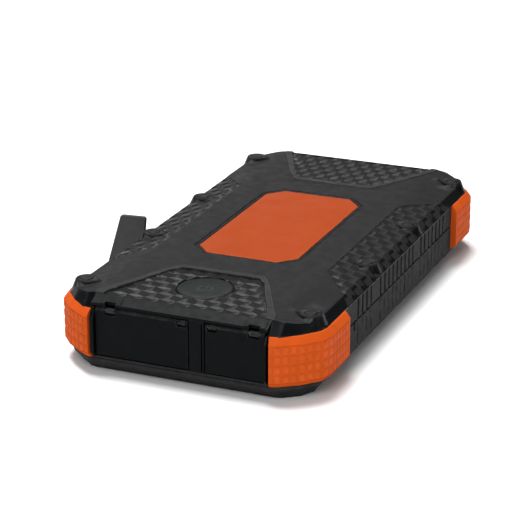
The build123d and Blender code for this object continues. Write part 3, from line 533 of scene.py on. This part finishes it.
for sx, side in ((-1, "left"), (1, "right")):
    relief = lattice("relief_" + side, *SIDE_REACH, SIDE_ROWS, side_floor)
    if sx < 0:
        mirror(relief, 0)
    (x0, y0), (x1, y1) = SIDE_RECESS
    y_out = y0 + (RELIEF_OUT_X - x0) * (y1 - y0) / (x1 - x0)
    outline = shrunk(across_y([(sx * x0, y0), (sx * RELIEF_OUT_X, y_out)]), RELIEF_GAP)
    boolean(relief, prism(outline, *CUT_Z), "INTERSECT")
    # the facets that stand out of the sloped band are cut off along it
    bm = bmesh.new()
    bm.from_mesh(relief.data)
    rise, run = LOFT_TOP_Z - BAND_Z, BAND_X - LOFT_TOP_X
    cut = bmesh.ops.bisect_plane(bm, geom=bm.verts[:] + bm.edges[:] + bm.faces[:], dist=1e-7,
                                 plane_co=Vector((sx * (BAND_X - 0.06), 0, BAND_Z)) * MM,
                                 plane_no=Vector((sx * rise, 0, run)).normalized(),
                                 clear_outer=True)
    rim = [e for e in cut["geom_cut"] if isinstance(e, bmesh.types.BMEdge)]
    bmesh.ops.holes_fill(bm, edges=rim, sides=0)
    bm.to_mesh(relief.data)
    bm.free()
    finish_piece(relief, "root", "case_plastic", MATS["relief"])

# ---------------------------------------------------------------- shells
BAND_LOW = [(34.5, 95.58), (38.3, 95.0), (44.2, 90.2), (49.3, 84.0), (50.4, 80.0)]
BAND_HIGH = [(34.6, 90.7), (37.6, 89.6), (43.0, 87.0), (44.9, 82.6), (43.4, 78.0)]
BAND_SOFT = 0.35                 # rounding where the roof turns down into the band
BOSS_R, BOSS_TIP_X, BOSS_SKIRT, BOSS_FILLET = 4.3, 37.6, 6.0, 0.5
BOSS_EDGE, BOSS_LEAN = 0.45, 3   # drop to the skirt, and its fall on the inboard side
BOSS_WALL, BOSS_RIM, BOSS_ROUND, BOSS_DROP = 0.3, 0.15, 0.45, 0.14
PLUG_GAP, PLUG_WALL, PLUG_POCKET = 0.12, 0.08, 0.6
PANEL_HALF, PANEL_CUT, PANEL_BED_Z, PANEL_UNDER_Z = (20.2, 39.2), (6.0, 6.5), 28.7, 29.05
BED_GROW, FRAME_OUT, FRAME_IN, FRAME_DROP = 1.95, 1.7, 0.25, 0.12
MITRE = 0.41                     # share of a growth that a corner cut takes
UNDER_ROOF_Z, UNDER_END_Z, BUTTON_WELL_Z = 24.6, 27.65, 26.5
SOCKET_WINDOW_TOP, SOCKET_WINDOW = 24.55, (-44, 14)
LIP_RUN, WALL_RUN, BED_RUN = 0.26, 0.12, 0.1      # over which each step in height happens
LIP_FOOT, SIDE_FOOT, BED_FOOT = (0.35, 0.14), (0.3, 0.10), (0.25, 0.08)
RECESS_FADE, RECESS_LEAST = 0.8, 0.4              # of the side recess towards the band's edge
CREASE_CORE, CREASE_STEP = (30.0, 76.0), 1.5
RING_STEP, GRID, END_HALF = 1.2, 3.3, 34.5
CASE, BAND, LIP, BOSS = range(4)                  # material slots of the roof


def mirrored(corner):
    """Closed outline from one corner's points."""
    out = list(corner) + [(x, -y) for x, y in reversed(corner)]
    return out + [(-x, -y) for x, y in corner] + [(-x, y) for x, y in reversed(corner)]


def octagon(grow):
    """Outline of the roof panel, grown evenly."""
    x, y = PANEL_HALF[0] + grow, PANEL_HALF[1] + grow
    cx, cy = PANEL_CUT[0] + MITRE * grow, PANEL_CUT[1] + MITRE * grow
    return mirrored([(x - cx, y), (x, y - cy)])


def circle(x, y, r, steps):
    """Closed outline of a circle."""
    return [(x + r * math.cos(a), y + r * math.sin(a))
            for a in np.linspace(0, 2 * math.pi, steps, endpoint=False)]


def resampled(points, step):
    """Closed outline with points added along its sides."""
    out = []
    for a, b in zip(points, points[1:] + points[:1]):
        n = max(1, round(math.dist(a, b) / step))
        out += [(a[0] + (b[0] - a[0]) * k / n, a[1] + (b[1] - a[1]) * k / n) for k in range(n)]
    return out


def add_ring(points, edges, ring):
    """Adds a closed ring to the points and the fixed edges of a triangulation."""
    start = len(points)
    points.extend(ring)
    edges.extend((start + i, start + (i + 1) % len(ring)) for i in range(len(ring)))


def triangulated(points, edges):
    """Points and triangles that keep to the fixed edges."""
    made = delaunay_2d_cdt([Vector(p) for p in points], edges, [], 0, 1e-4)
    return np.array([tuple(v) for v in made[0]], float), np.array(made[2])


def blended(a, b, soft):
    """Larger of two heights, with a fillet where they meet."""
    h = np.clip(0.5 + 0.5 * (b - a) / soft, 0, 1)
    return a * (1 - h) + b * h + soft * h * (1 - h)


def signed_distance(p, outline):
    """Distance of points to an outline, negative inside it."""
    a = np.array(outline, float)
    b = np.roll(a, -1, axis=0)
    best = np.full(len(p), 1e9)
    inside = np.zeros(len(p), bool)
    for (ax, ay), (bx, by) in zip(a, b):
        d = np.array([bx - ax, by - ay])
        q = p - (ax, ay)
        t = np.clip(q @ d / max(d @ d, 1e-12), 0, 1)
        best = np.minimum(best, np.hypot(*(q - t[:, None] * d).T))
        crosses = (ay > p[:, 1]) != (by > p[:, 1])
        with np.errstate(divide="ignore", invalid="ignore"):
            at = ax + (p[:, 1] - ay) * (bx - ax) / (by - ay)
        inside ^= crosses & (p[:, 0] < at)
    return np.where(inside, -best, best)


def crown(p):
    """Height of the plain roof over each point."""
    return np.array([roof_z(x, y) for x, y in p])


def band_height(p):
    """Lowest of the sloped band's planes over each point."""
    q = np.abs(p)
    z = BAND_Z + (BAND_X - q[:, 0]) * (LOFT_TOP_Z - BAND_Z) / (BAND_X - LOFT_TOP_X)
    for l0, l1, h0, h1 in zip(BAND_LOW, BAND_LOW[1:], BAND_HIGH, BAND_HIGH[1:]):
        l0, l1 = np.array(l0), np.array(l1)
        d = (l1 - l0) / np.linalg.norm(l1 - l0)
        n = np.array([d[1], -d[0]])
        reach = ((np.array(h0) + h1) / 2 - l0) @ n
        z = np.minimum(z, BAND_Z + (LOFT_TOP_Z - BAND_Z) * ((q - l0) @ n) / reach)
    return z


lips, pockets, sides, bosses = [], [], [], []
for sy in (-1, 1):
    for source, store in ((LIP_OUTER, lips), (LIP_INNER, pockets)):
        outline = across_x([(x, sy * y) for x, y in source])
        store.append(rounded_corner(outline, {3, 4}, LIP_CORNER))
for sx in (-1, 1):
    sides.append(across_y([(sx * x, y) for x, y in SIDE_RECESS]))
for x, y, top in SCREWS:
    for sx, sy in MIRRORS:
        # a teardrop: an arc round the screw, and a tip on the inboard side
        half = math.pi - math.acos(BOSS_R / (x - BOSS_TIP_X))
        arc = [(sx * (x + BOSS_R * math.cos(a)), sy * y + BOSS_R * math.sin(a))
               for a in np.linspace(-half, half, 22)]
        bosses.append((arc + [(sx * BOSS_TIP_X, sy * y)], sx * x, sy * y, top))
bed = octagon(BED_GROW)


def foot_groove(distance, size):
    """Depth of the shallow groove along the outside of an outline."""
    width, depth = size
    return depth * (1 - np.clip(distance / width, 0, 1)) ** 2 * (distance > 0)


def roof_field(p):
    """Height of the moulded roof over each point, and the part of it that the point is on."""
    base = crown(p)
    z = base.copy()
    for lip, pocket in zip(lips, pockets):
        so, si = signed_distance(p, lip), signed_distance(p, pocket)
        z += LIP_HEIGHT * np.clip(-so / LIP_RUN, 0, 1)
        z -= foot_groove(si, LIP_FOOT)
        floor_z = base - RELIEF_DEPTH
        z = np.where(si <= 0, z + (floor_z - z) * np.clip(-si / WALL_RUN, 0, 1), z)
    for side in sides:
        sr = signed_distance(p, side)
        z -= foot_groove(sr, SIDE_FOOT)
        z -= SIDE_DEPTH * np.clip(-sr / WALL_RUN, 0, 1)
    sp = signed_distance(p, bed)
    z -= foot_groove(sp, BED_FOOT)
    z = np.where(sp <= 0, z + (PANEL_BED_Z - z) * np.clip(-sp / BED_RUN, 0, 1), z)
    band = band_height(p)
    for side in sides:
        edge = np.clip((BAND_X - np.abs(p[:, 0])) / RECESS_FADE, RECESS_LEAST, 1)
        band -= BAND_CUT * edge * np.clip(-signed_distance(p, side) / WALL_RUN, 0, 1)
    z = -blended(-band, -z, BAND_SOFT)
    for outline, bx, by, top in bosses:
        sb = signed_distance(p, outline)
        r = np.hypot(p[:, 0] - bx, p[:, 1] - by)
        fall = np.clip((r - BOSS_R) / (BOSS_SKIRT - BOSS_R), 0, 1.5)
        outward = np.clip((p[:, 0] * np.sign(bx) - abs(bx) + 3) / 4, 0, 1)
        skirt_top = top - BOSS_EDGE
        skirt = skirt_top - (skirt_top - BAND_Z) * fall - BOSS_LEAN * (1 - outward) ** 2
        z = np.where(r < BOSS_SKIRT + 0.6, blended(z, skirt, BOSS_FILLET), z)
        share = np.clip(-sb / BOSS_WALL, 0, 1)
        crest = top - BOSS_DROP * (1 - np.clip((-sb - BOSS_RIM) / BOSS_ROUND, 0, 1)) ** 2
        z = np.where(sb < 0, np.maximum(z, z + (crest - z) * share), z)
        z -= PLUG_POCKET * np.clip((CAP_R + PLUG_GAP - r) / PLUG_WALL, 0, 1)
    kind = np.full(len(p), CASE)
    for lip, pocket in zip(lips, pockets):
        kind[(signed_distance(p, lip) < -0.24) & (signed_distance(p, pocket) > 0.1)] = LIP
    kind[band < base - 0.05] = BAND
    for outline, _, _, _ in bosses:
        kind[signed_distance(p, outline) < 0] = BOSS
    return z, kind


def crease_rings():
    """Rings beside the crease where the roof turns down into the band."""
    outer = np.array(resampled(mirrored(BAND_LOW), CREASE_STEP))
    centre = np.sign(outer) * np.array(CREASE_CORE)
    for i in (1, 0):
        centre[:, i] = np.where(np.abs(outer[:, i]) < CREASE_CORE[i], outer[:, i], centre[:, i])
    inward = centre - outer
    lo, hi = np.zeros(len(outer)), np.ones(len(outer))
    for _ in range(30):
        mid = (lo + hi) / 2
        p = outer + inward * mid[:, None]
        below = band_height(p) < crown(p)
        lo, hi = np.where(below, mid, lo), np.where(below, hi, mid)
    unit = inward / np.linalg.norm(inward, axis=1)[:, None]
    return [[tuple(v) for v in outer + inward * lo[:, None] + unit * shift]
            for shift in (-0.6, -0.3, -0.1, 0.1, 0.3, 0.6)]


def make_roof():
    """The roof's outer skin, as a triangulated height field with a rim turned down."""
    domain = mirrored([(END_HALF, ROOF_END_Y)] + BAND_LOW)
    hole = circle(0, BUTTON_Y, BUTTON_R + BUTTON_GAP, 96)
    rings = [(domain, (0.0, -0.3)), (hole, (0.0,)), (bed, (0.0, -BED_RUN, 0.12, BED_FOOT[0]))]
    rings += [(lip, (0.0, -LIP_RUN, -0.5)) for lip in lips]
    rings += [(pocket, (0.0, -WALL_RUN, 0.12, LIP_FOOT[0])) for pocket in pockets]
    rings += [(side, (0.0, -WALL_RUN, 0.15, SIDE_FOOT[0])) for side in sides]
    rings += [(outline, (0.0, -0.15, -0.3, -0.45, -0.6)) for outline, _, _, _ in bosses]
    points, edges = [], []
    for outline, offsets in rings:
        for off in offsets:
            ring = shrunk(outline, -off) if off else outline
            add_ring(points, edges, resampled(ring, RING_STEP))
    for outline, bx, by, _ in bosses:
        for r in (CAP_R + PLUG_GAP - PLUG_WALL, CAP_R + PLUG_GAP):
            add_ring(points, edges, circle(bx, by, r, 28))
        # loose points round the foot of the boss, away from its outline and from the crease
        for i, r in enumerate((4.75, 5.2, 5.65, 6.1, 6.55)):
            a = np.linspace(0, 2 * math.pi, 64, endpoint=False) + 0.05 * (i % 2)
            foot = np.stack([bx + r * np.cos(a), by + r * np.sin(a)], 1)
            on_band = band_height(foot) < crown(foot) - 0.45
            points.extend(tuple(v) for v in foot[(signed_distance(foot, outline) > 0.3) & on_band])
    for ring in crease_rings():
        add_ring(points, edges, ring)
    # a grid, a little uneven so that no four points are on one circle
    for x in np.arange(-50, 50.1, GRID):
        for y in np.arange(-95, 95.1, GRID):
            points.append((x + 0.01 * math.sin(y), y))
    flat, faces = triangulated(points, edges)
    mid = flat[faces].mean(1)
    keep = (signed_distance(mid, domain) < 0) & (signed_distance(mid, hole) > 0)
    z, _ = roof_field(flat)
    _, kinds = roof_field(mid[keep])
    bm = bmesh.new()
    verts = [bm.verts.new((x * MM, y * MM, h * MM)) for (x, y), h in zip(flat, z)]
    for f, kind in zip(faces[keep], kinds):
        face = bm.faces.new([verts[i] for i in f])
        face.material_index = int(kind)
        if face.normal.z < 0:
            face.normal_flip()
    bmesh.ops.delete(bm, geom=[v for v in bm.verts if not v.link_faces], context="VERTS")
    rim = [e for e in bm.edges if e.is_boundary]
    made = bmesh.ops.extrude_edge_only(bm, edges=rim)["geom"]
    for v in [g for g in made if isinstance(g, bmesh.types.BMVert)]:
        x, y = v.co.x / MM, v.co.y / MM
        if math.hypot(x, y - BUTTON_Y) < BUTTON_R + 1.6:
            v.co.z = BUTTON_WELL_Z * MM
        else:
            v.co.z = (UNDER_END_Z if abs(x) < END_HALF - 0.1 else UNDER_ROOF_Z) * MM
    bmesh.ops.recalc_face_normals(bm, faces=bm.faces)
    top = max(bm.faces, key=lambda f: f.calc_center_median().z)
    if top.normal.z < 0:
        bmesh.ops.reverse_faces(bm, faces=bm.faces)
    # Convex bends get a mark that the roof's materials paint as a highlight: bright lines along the
    # lips, the bosses and the band's lower edge.
    layer = bm.verts.layers.float.new("edge")
    for v in bm.verts:
        bend = [e.calc_face_angle_signed(0) for e in v.link_edges if len(e.link_faces) == 2]
        if bend and max(bend) > math.radians(16):
            v[layer] = min(1.0, max(bend) / math.radians(60))
    return new_object("case_roof_moulding", bm)


roof = shade(make_roof(), 27)
for kind in ("case", "band", "lip", "boss"):
    roof.data.materials.append(MATS[kind])
finish_piece(roof, "root", "case_plastic", None, "top_cover")

bm = cleaned("top_cover")
bmesh.ops.bisect_plane(bm, geom=bm.verts[:] + bm.edges[:] + bm.faces[:], dist=1e-7,
                       plane_co=Vector((0, 0, (UNDER_ROOF_Z + 0.15) * MM)), plane_no=(0, 0, 1),
                       clear_outer=True)


def wall_edge(e):
    """True for an edge of the walls that is clear of their cut top and of the socket's window."""
    a = e.verts[0].co
    at_window = a.x < SOCKET_WINDOW[0] * MM and abs(a.y) < SOCKET_WINDOW[1] * MM
    low = min(v.co.z for v in e.verts) < (SOCKET_WINDOW_TOP - 0.1) * MM
    return low and not at_window


bevel_edges(bm, 0.22, pick=wall_edge)
walls = shade(new_object("case_upper_walls", bm))
finish_piece(walls, "root", "case_plastic", MATS["wall"], "top_cover")
rounded("bottom_shell", 0.2, "case_floor_moulding", "case_plastic", "wall")

# ---------------------------------------------------------------- bumpers
BUMPER_LOW, BUMPER_HIGH, BUMPER_THICK = 6.05, 24.95, 2.6
BULGE, BULGE_LOW, BULGE_HIGH = 1.9, 7.7, 22.4
GROOVE, RAMP, LEAD_IN, LEAD_OUT = 0.30, 0.33, 0.75, 0.55
PAD_ROWS = [(8.1, 11.0), (11.8, 14.7), (15.5, 18.3), (19.1, 22.0)]
PAD_PITCH, PAD_WIDTH, PAD_START, PAD_STOP = 2.9, 2.05, 1.7, 1.2
CORNER_R, END_BEVEL = 1.2, 0.45  # rounding of the outline, and length of the softened ends


def smooth_outline(points, radius, steps):
    """Open polyline with its inner corners rounded."""
    pts = [Vector(p) for p in points]
    out = [pts[0]]
    for a, p, b in zip(pts, pts[1:], pts[2:]):
        cut = min(radius, (p - a).length * 0.45, (b - p).length * 0.45)
        start, end = p + (a - p).normalized() * cut, p + (b - p).normalized() * cut
        for k in range(steps + 1):
            t = k / steps
            out.append(start * (1 - t) ** 2 + p * 2 * t * (1 - t) + end * t ** 2)
    return out + [pts[-1]]


def bumper(name, sx, sy):
    """Bulged corner guard with rows of pads, swept along its outline."""
    line = smooth_outline(BUMPER, CORNER_R, 4)
    arc = [0.0]
    for a, b in zip(line, line[1:]):
        arc.append(arc[-1] + (b - a).length)
    length = arc[-1]
    xs, ys = [p.x for p in line], [p.y for p in line]

    def at(s):
        """Point on the outline and the direction into the case there."""
        def point(u):
            return np.array([np.interp(u, arc, xs), np.interp(u, arc, ys)])
        d = Vector(point(s + 0.4) - point(s - 0.4)).normalized()
        return Vector(point(s)), Vector((-d.y, d.x))

    pads = []
    s = PAD_START
    while s + PAD_WIDTH < length - PAD_STOP:
        pads.append((s, s + PAD_WIDTH))
        s += PAD_PITCH

    def bulge(z):
        heights = (BUMPER_LOW, BULGE_LOW, BULGE_HIGH, BUMPER_HIGH)
        return BULGE * float(np.interp(z, heights, (0, 1, 1, 0)))

    def profile(spans, lo, hi):
        """Groove depth share along one direction: 0 on the pads and margins, 1 between."""
        start, end = spans[0][0] - LEAD_IN, spans[-1][1] + LEAD_OUT
        marks = [(lo, 0.0), (start, 0.0), (start + RAMP, 1.0)]
        for a, b in spans:
            marks += [(a - 0.001, 1.0), (a + RAMP, 0.0), (b - RAMP, 0.0), (b, 1.0)]
        return marks + [(end, 1.0), (end + RAMP, 0.0), (hi, 0.0)]

    amarks = profile(pads, 0.0, length)
    zmarks = profile(PAD_ROWS, BUMPER_LOW, BUMPER_HIGH)
    za, zv = [m[0] for m in zmarks], [m[1] for m in zmarks]
    aa, av = [m[0] for m in amarks], [m[1] for m in amarks]
    zone_z = (PAD_ROWS[0][0] - LEAD_IN, PAD_ROWS[-1][1] + LEAD_OUT + RAMP)
    zone_a = (pads[0][0] - LEAD_IN, pads[-1][1] + LEAD_OUT + RAMP)
    s_lines = sorted({round(v, 4) for v in aa + arc})
    s_lines = [v for i, v in enumerate(s_lines) if i == 0 or v - s_lines[i - 1] > 0.02]
    # heights of the section's points and how far behind the surface each one lies
    z_lines = [(BUMPER_LOW, BUMPER_THICK), (BUMPER_LOW, 0.25), (BUMPER_LOW + 0.15, 0.02)]
    z_lines += [(BULGE_LOW - 0.25, 0.04), (BULGE_LOW + 0.1, 0.03)]
    z_lines += [(z, 0.0) for z in za[1:-1] if BULGE_LOW + 0.15 < z < BULGE_HIGH - 0.1]
    z_lines += [(BULGE_HIGH - 0.05, 0.03), (BULGE_HIGH + 0.3, 0.04)]
    z_lines += [(BUMPER_HIGH - 0.2, 0.02), (BUMPER_HIGH, 0.25), (BUMPER_HIGH, BUMPER_THICK)]
    verts, faces, crest = [], [], []
    columns = [(0.0, True)] + [(s, False) for s in s_lines] + [(length, True)]
    for s, endcap in columns:
        p, n = at(s)
        for z, back in z_lines:
            padded = (back == 0 and zone_z[0] - 0.01 <= z <= zone_z[1] + 0.01
                      and zone_a[0] - 0.01 <= s <= zone_a[1] + 0.01)
            depth = GROOVE * max(np.interp(s, aa, av), np.interp(z, za, zv)) if padded else 0.0
            off = back + depth
            if endcap:
                off = max(off, BUMPER_THICK + bulge(z))
            elif s < 0.01 or s > length - 0.01:
                off = max(off, 0.35)
            elif s < END_BEVEL or s > length - END_BEVEL:
                off = max(off, 0.06)
            q = p + n * ((bulge(z) if back < 2 else 0.0) - off)
            crest.append(1.0 if padded and depth < 0.02 else 0.0)
            verts.append((sx * q.x, sy * q.y, z))
    nz = len(z_lines)
    for i in range(len(columns) - 1):
        for j in range(nz - 1):
            a = i * nz + j
            faces.append((a, a + 1, a + nz + 1, a + nz))
        a = i * nz
        faces.append((a + nz - 1, a, a + nz, a + 2 * nz - 1))
    faces.append(tuple(range(nz)))
    faces.append(tuple(range((len(columns) - 1) * nz, len(columns) * nz)))
    obj = from_lists(name, verts, faces)
    layer = obj.data.attributes.new("edge", "FLOAT", "POINT")
    layer.data.foreach_set("value", np.array(crest, np.float32) * 0.6)
    return shade(obj, 46)


for sx, sy in MIRRORS:
    node_name = f"bumper_{'front' if sy < 0 else 'rear'}_{'left' if sx < 0 else 'right'}"
    guard = bumper(node_name + "_guard", sx, sy)
    finish_piece(guard, "root", "bumper_rubber", MATS["bumper"], node_name)


# ---------------------------------------------------------------- roof pieces
def roof_plate(name, outer, inner, base, lower, soft):
    """Plate that follows the roof, with a softened rim, a flat base and perhaps an opening."""
    points, edges = [], []
    offsets = (0.0, soft * 0.15, soft * 0.45, soft)
    for outline, sign in [(outer, 1)] + ([(inner, -1)] if inner else []):
        for off in offsets:
            add_ring(points, edges, resampled(shrunk(outline, sign * off), 1.5))
    if not inner:
        points += [(x, y) for x in np.arange(-18, 18.1, 4.5) for y in np.arange(-37.5, 37.6, 5.0)
                   if signed_distance(np.array([(x, y)]), outer)[0] < -soft - 0.5]
    flat, faces = triangulated(points, edges)
    mid = flat[faces].mean(1)
    keep = signed_distance(mid, outer) < 0
    if inner:
        keep &= signed_distance(mid, inner) > 0
    rim = -signed_distance(flat, outer)
    if inner:
        rim = np.minimum(rim, signed_distance(flat, inner))
    inset = 1 - np.clip(rim / soft, 0, 1)
    height = crown(flat) - lower - soft * (1 - np.sqrt(np.clip(1 - inset ** 2, 0, 1)))
    bm = bmesh.new()
    verts = [bm.verts.new((x * MM, y * MM, h * MM)) for (x, y), h in zip(flat, height)]
    for f in faces[keep]:
        bm.faces.new([verts[i] for i in f])
    bmesh.ops.delete(bm, geom=[v for v in bm.verts if not v.link_faces], context="VERTS")
    # The rims get a mark for a lighter colour: a painted highlight on the panel's frame, a lighter
    # rim on the orange panel.
    layer = bm.verts.layers.float.new("edge")
    for v in bm.verts:
        p = np.array([(v.co.x / MM, v.co.y / MM)])
        near = min(abs(signed_distance(p, o)[0]) for o in (outer, inner) if o)
        v[layer] = 1.0 if near < soft * 0.5 else 0.0
    made = bmesh.ops.extrude_face_region(bm, geom=bm.faces[:])["geom"]
    for v in [g for g in made if isinstance(g, bmesh.types.BMVert)]:
        v.co.z = base * MM
        v[layer] = 0.0
    bmesh.ops.recalc_face_normals(bm, faces=bm.faces)
    return shade(new_object(name, bm), 40)


panel = roof_plate("roof_panel", octagon(0), None, PANEL_UNDER_Z, 0.0, 0.4)
finish_piece(panel, "root", "orange_panel", MATS["orange"], "top_panel")
surround = roof_plate("roof_panel_frame", octagon(FRAME_OUT), octagon(FRAME_IN), PANEL_BED_Z,
                      FRAME_DROP, 0.3)
finish_piece(surround, "root", "frame_plastic", MATS["frame"], "panel_frame")

BUTTON_PROFILE = [
    (1.6, 24.0), (1.6, 25.5), (11.6, 25.5), (11.6, 26.4), (10.4, 26.4), (10.4, 28.9), (10.33, 29.2),
    (10.12, 29.42), (9.8, 29.54), (9.4, 29.55), (9.0, 29.5), (8.4, 29.36), (6.5, 29.27),
    (3.5, 29.23), (0.4, 29.22)]
key = shade(lathe("power_key", BUTTON_PROFILE, (0, BUTTON_Y, 0), 96), 35)
finish_piece(key, "power_button", "button_plastic", MATS["button"], "power_button")

MARK_Z, MARK_RING, MARK_ARC = 29.28, (2.3, 3.05), (125, 415)
MARK_BAR = [(-0.36, 0.7), (0.36, 0.7), (0.36, 3.9), (-0.36, 3.9)]


def arc_band(radii, span, z, steps=40):
    """Flat ring segment round the button's centre."""
    verts, faces = [], []
    for i in range(steps + 1):
        a = math.radians(span[0] + (span[1] - span[0]) * i / steps)
        for r in radii:
            for h in (z - 0.05, z):
                verts.append((r * math.cos(a), BUTTON_Y + r * math.sin(a), h))
    for i in range(steps):
        k = 4 * i
        faces += [(k + 1, k + 3, k + 7, k + 5), (k, k + 4, k + 6, k + 2), (k, k + 1, k + 5, k + 4),
                  (k + 2, k + 6, k + 7, k + 3)]
    faces += [(0, 2, 3, 1), (4 * steps, 4 * steps + 1, 4 * steps + 3, 4 * steps + 2)]
    return from_lists("arc", verts, faces)


bar = prism([(x, BUTTON_Y + y) for x, y in MARK_BAR], MARK_Z - 0.08, MARK_Z)
mark = join("power_mark", [arc_band(MARK_RING, MARK_ARC, MARK_Z), bar])
finish_piece(mark, "power_button", "button_plastic", MATS["mark"])

CAP_PROFILE = [(2.3, -CAP_DEPTH), (CAP_R, 0.2 - CAP_DEPTH), (CAP_R, 0.02), (2.42, 0.14),
               (2.2, 0.22), (1.9, 0.24), (1.6, 0.2), (1.2, 0.19), (0.3, 0.2)]
caps = [lathe("cap", CAP_PROFILE, (sx * x, sy * y, top), 40)
        for x, y, top in SCREWS for sx, sy in MIRRORS]
caps = shade(join("screw_plugs", caps), 40)
finish_piece(caps, "root", "cap_rubber", MATS["cap"], "screw_caps")

# ---------------------------------------------------------------- port end, lamp end, socket
rounded("front_fascia", 0.16, "port_end_fascia", "fascia_plastic", "fascia")
for side in ("left", "right"):
    cover = "port_cover_" + side
    rounded(cover, 0.3, "port_flap_" + side, "cover_rubber", "cover", body=cover, angle=30)
rounded("rear_fascia", 0.16, "lamp_end_fascia", "fascia_plastic", "fascia")
rounded("jumper_socket", 0.16, "cable_socket_moulding", "socket_plastic", "socket")
rounded("socket_cover", 0.25, "cable_socket_flap", "case_plastic", "tab", body="socket_cover")
rounded("socket_cover_seal", 0.2, "cable_socket_plug", "seal_rubber", "seal", body="socket_cover")

# ---------------------------------------------------------------- CAD pieces that stay
STAYING = {
    "seal": ["perimeter_gasket"],
    "foam": ["foam_pad_lower", "foam_pad_upper"],
    "steel": ["cover_screws", "board_screws", "port_cover_pin_left", "port_cover_pin_right",
              "socket_cover_pin"],
    "nickel": ["usb_a_port_left", "usb_a_port_right", "usb_c_port"],
    "socket": ["dc_charge_jack", "tact_switch"],
    "brass": ["jumper_contact_positive", "jumper_contact_negative", "busbar_positive",
              "busbar_negative"],
    "lens": ["lamp_lens"],
    "chrome": ["lamp_reflector"],
    "board": ["lamp_board", "button_board", "main_circuit_board"],
    "aluminium": ["heat_spreader"],
    "foil": ["battery_cell_1", "battery_cell_2", "battery_cell_3"],
    "inner": ["button_bracket"],
}
for mat_name, names in STAYING.items():
    for n in names:
        nodes[n].data.materials.clear()
        nodes[n].data.materials.append(MATS[mat_name])

# ---------------------------------------------------------------- floor, light, camera
FLOOR_HALF = 9000
floor = from_lists("floor", [(x * FLOOR_HALF, y * FLOOR_HALF, 0)
                             for x, y in ((-1, -1), (1, -1), (1, 1), (-1, 1))], [(0, 1, 2, 3)])
floor.data.materials.append(surface("floor_pale", (0.93, 0.93, 0.93), tone=0.01, rough=0.7,
                                    specular=0.1, grain=2, grain_height=0.01,
                                    grain_strength=0.05, mottle=60))

world = bpy.data.worlds.new("studio")
bpy.context.scene.world = world
world.use_nodes = True
background = world.node_tree.nodes["Background"]
background.inputs[0].default_value = (1.0, 1.0, 1.0, 1.0)
background.inputs[1].default_value = 0.12


def add_light(name, kind, power, at, towards):
    """Light at a place in millimetres that shines along a direction."""
    light = bpy.data.lights.new(name, kind)
    light.energy = power
    obj = bpy.data.objects.new(name, light)
    bpy.context.scene.collection.objects.link(obj)
    obj.location = Vector(at) * MM
    obj.rotation_mode = "QUATERNION"
    obj.rotation_quaternion = Vector(towards).to_track_quat("-Z", "Y")
    return light


add_light("sky_window", "SUN", 3.7, (0, 0, 0), (0.22, -0.16, -1.0)).angle = math.radians(24)
AIM = Vector((0, 0, 15))
for name, at, size, power in (
        ("overhead", (-230, 130, 1080), (0.8, 0.8), 3.5),
        ("back_left_strip", (-900, 1500, 260), (0.9, 0.16), 1.5),
        ("right_side", (1100, -300, 420), (0.9, 0.6), 2.2),
        ("front_fill", (60, -1080, 950), (0.9, 0.6), 8.2)):
    light = add_light(name, "AREA", power, at, AIM - Vector(at))
    light.shape = "RECTANGLE"
    light.size, light.size_y = size

# the camera's fit to the view: direction, focal length, and the datum's place before the lens
AZIMUTH, ELEVATION, ROLL = math.radians(23.021), math.radians(20.390), -0.002
FOCAL_PX, IMAGE_PX, SENSOR = 2027.209, 512, 36.0
SHIFT_X, SHIFT_Y, DISTANCE, DATUM = 9.887, 12.112, 796.681, 30.0
fwd = Vector((-math.sin(AZIMUTH) * math.cos(ELEVATION), math.cos(AZIMUTH) * math.cos(ELEVATION),
              -math.sin(ELEVATION)))
level = Vector((math.cos(AZIMUTH), math.sin(AZIMUTH), 0.0))
upright = level.cross(fwd)
right = math.cos(ROLL) * level + math.sin(ROLL) * upright
up = -math.sin(ROLL) * level + math.cos(ROLL) * upright
place = -(SHIFT_X * right + SHIFT_Y * up + DISTANCE * fwd) + Vector((0, 0, DATUM))
camera = bpy.data.cameras.new("camera")
camera.lens, camera.sensor_width = FOCAL_PX / IMAGE_PX * SENSOR, SENSOR
camera.clip_start, camera.clip_end = 0.05, 30.0
cam = bpy.data.objects.new("camera", camera)
bpy.context.scene.collection.objects.link(cam)
turned = Matrix((right, up, -fwd)).transposed().to_4x4()
cam.matrix_world = Matrix.Translation(place * MM) @ turned
bpy.context.scene.camera = cam
bpy.context.scene.view_settings.view_transform = "Standard"

bpy.context.view_layer.update()
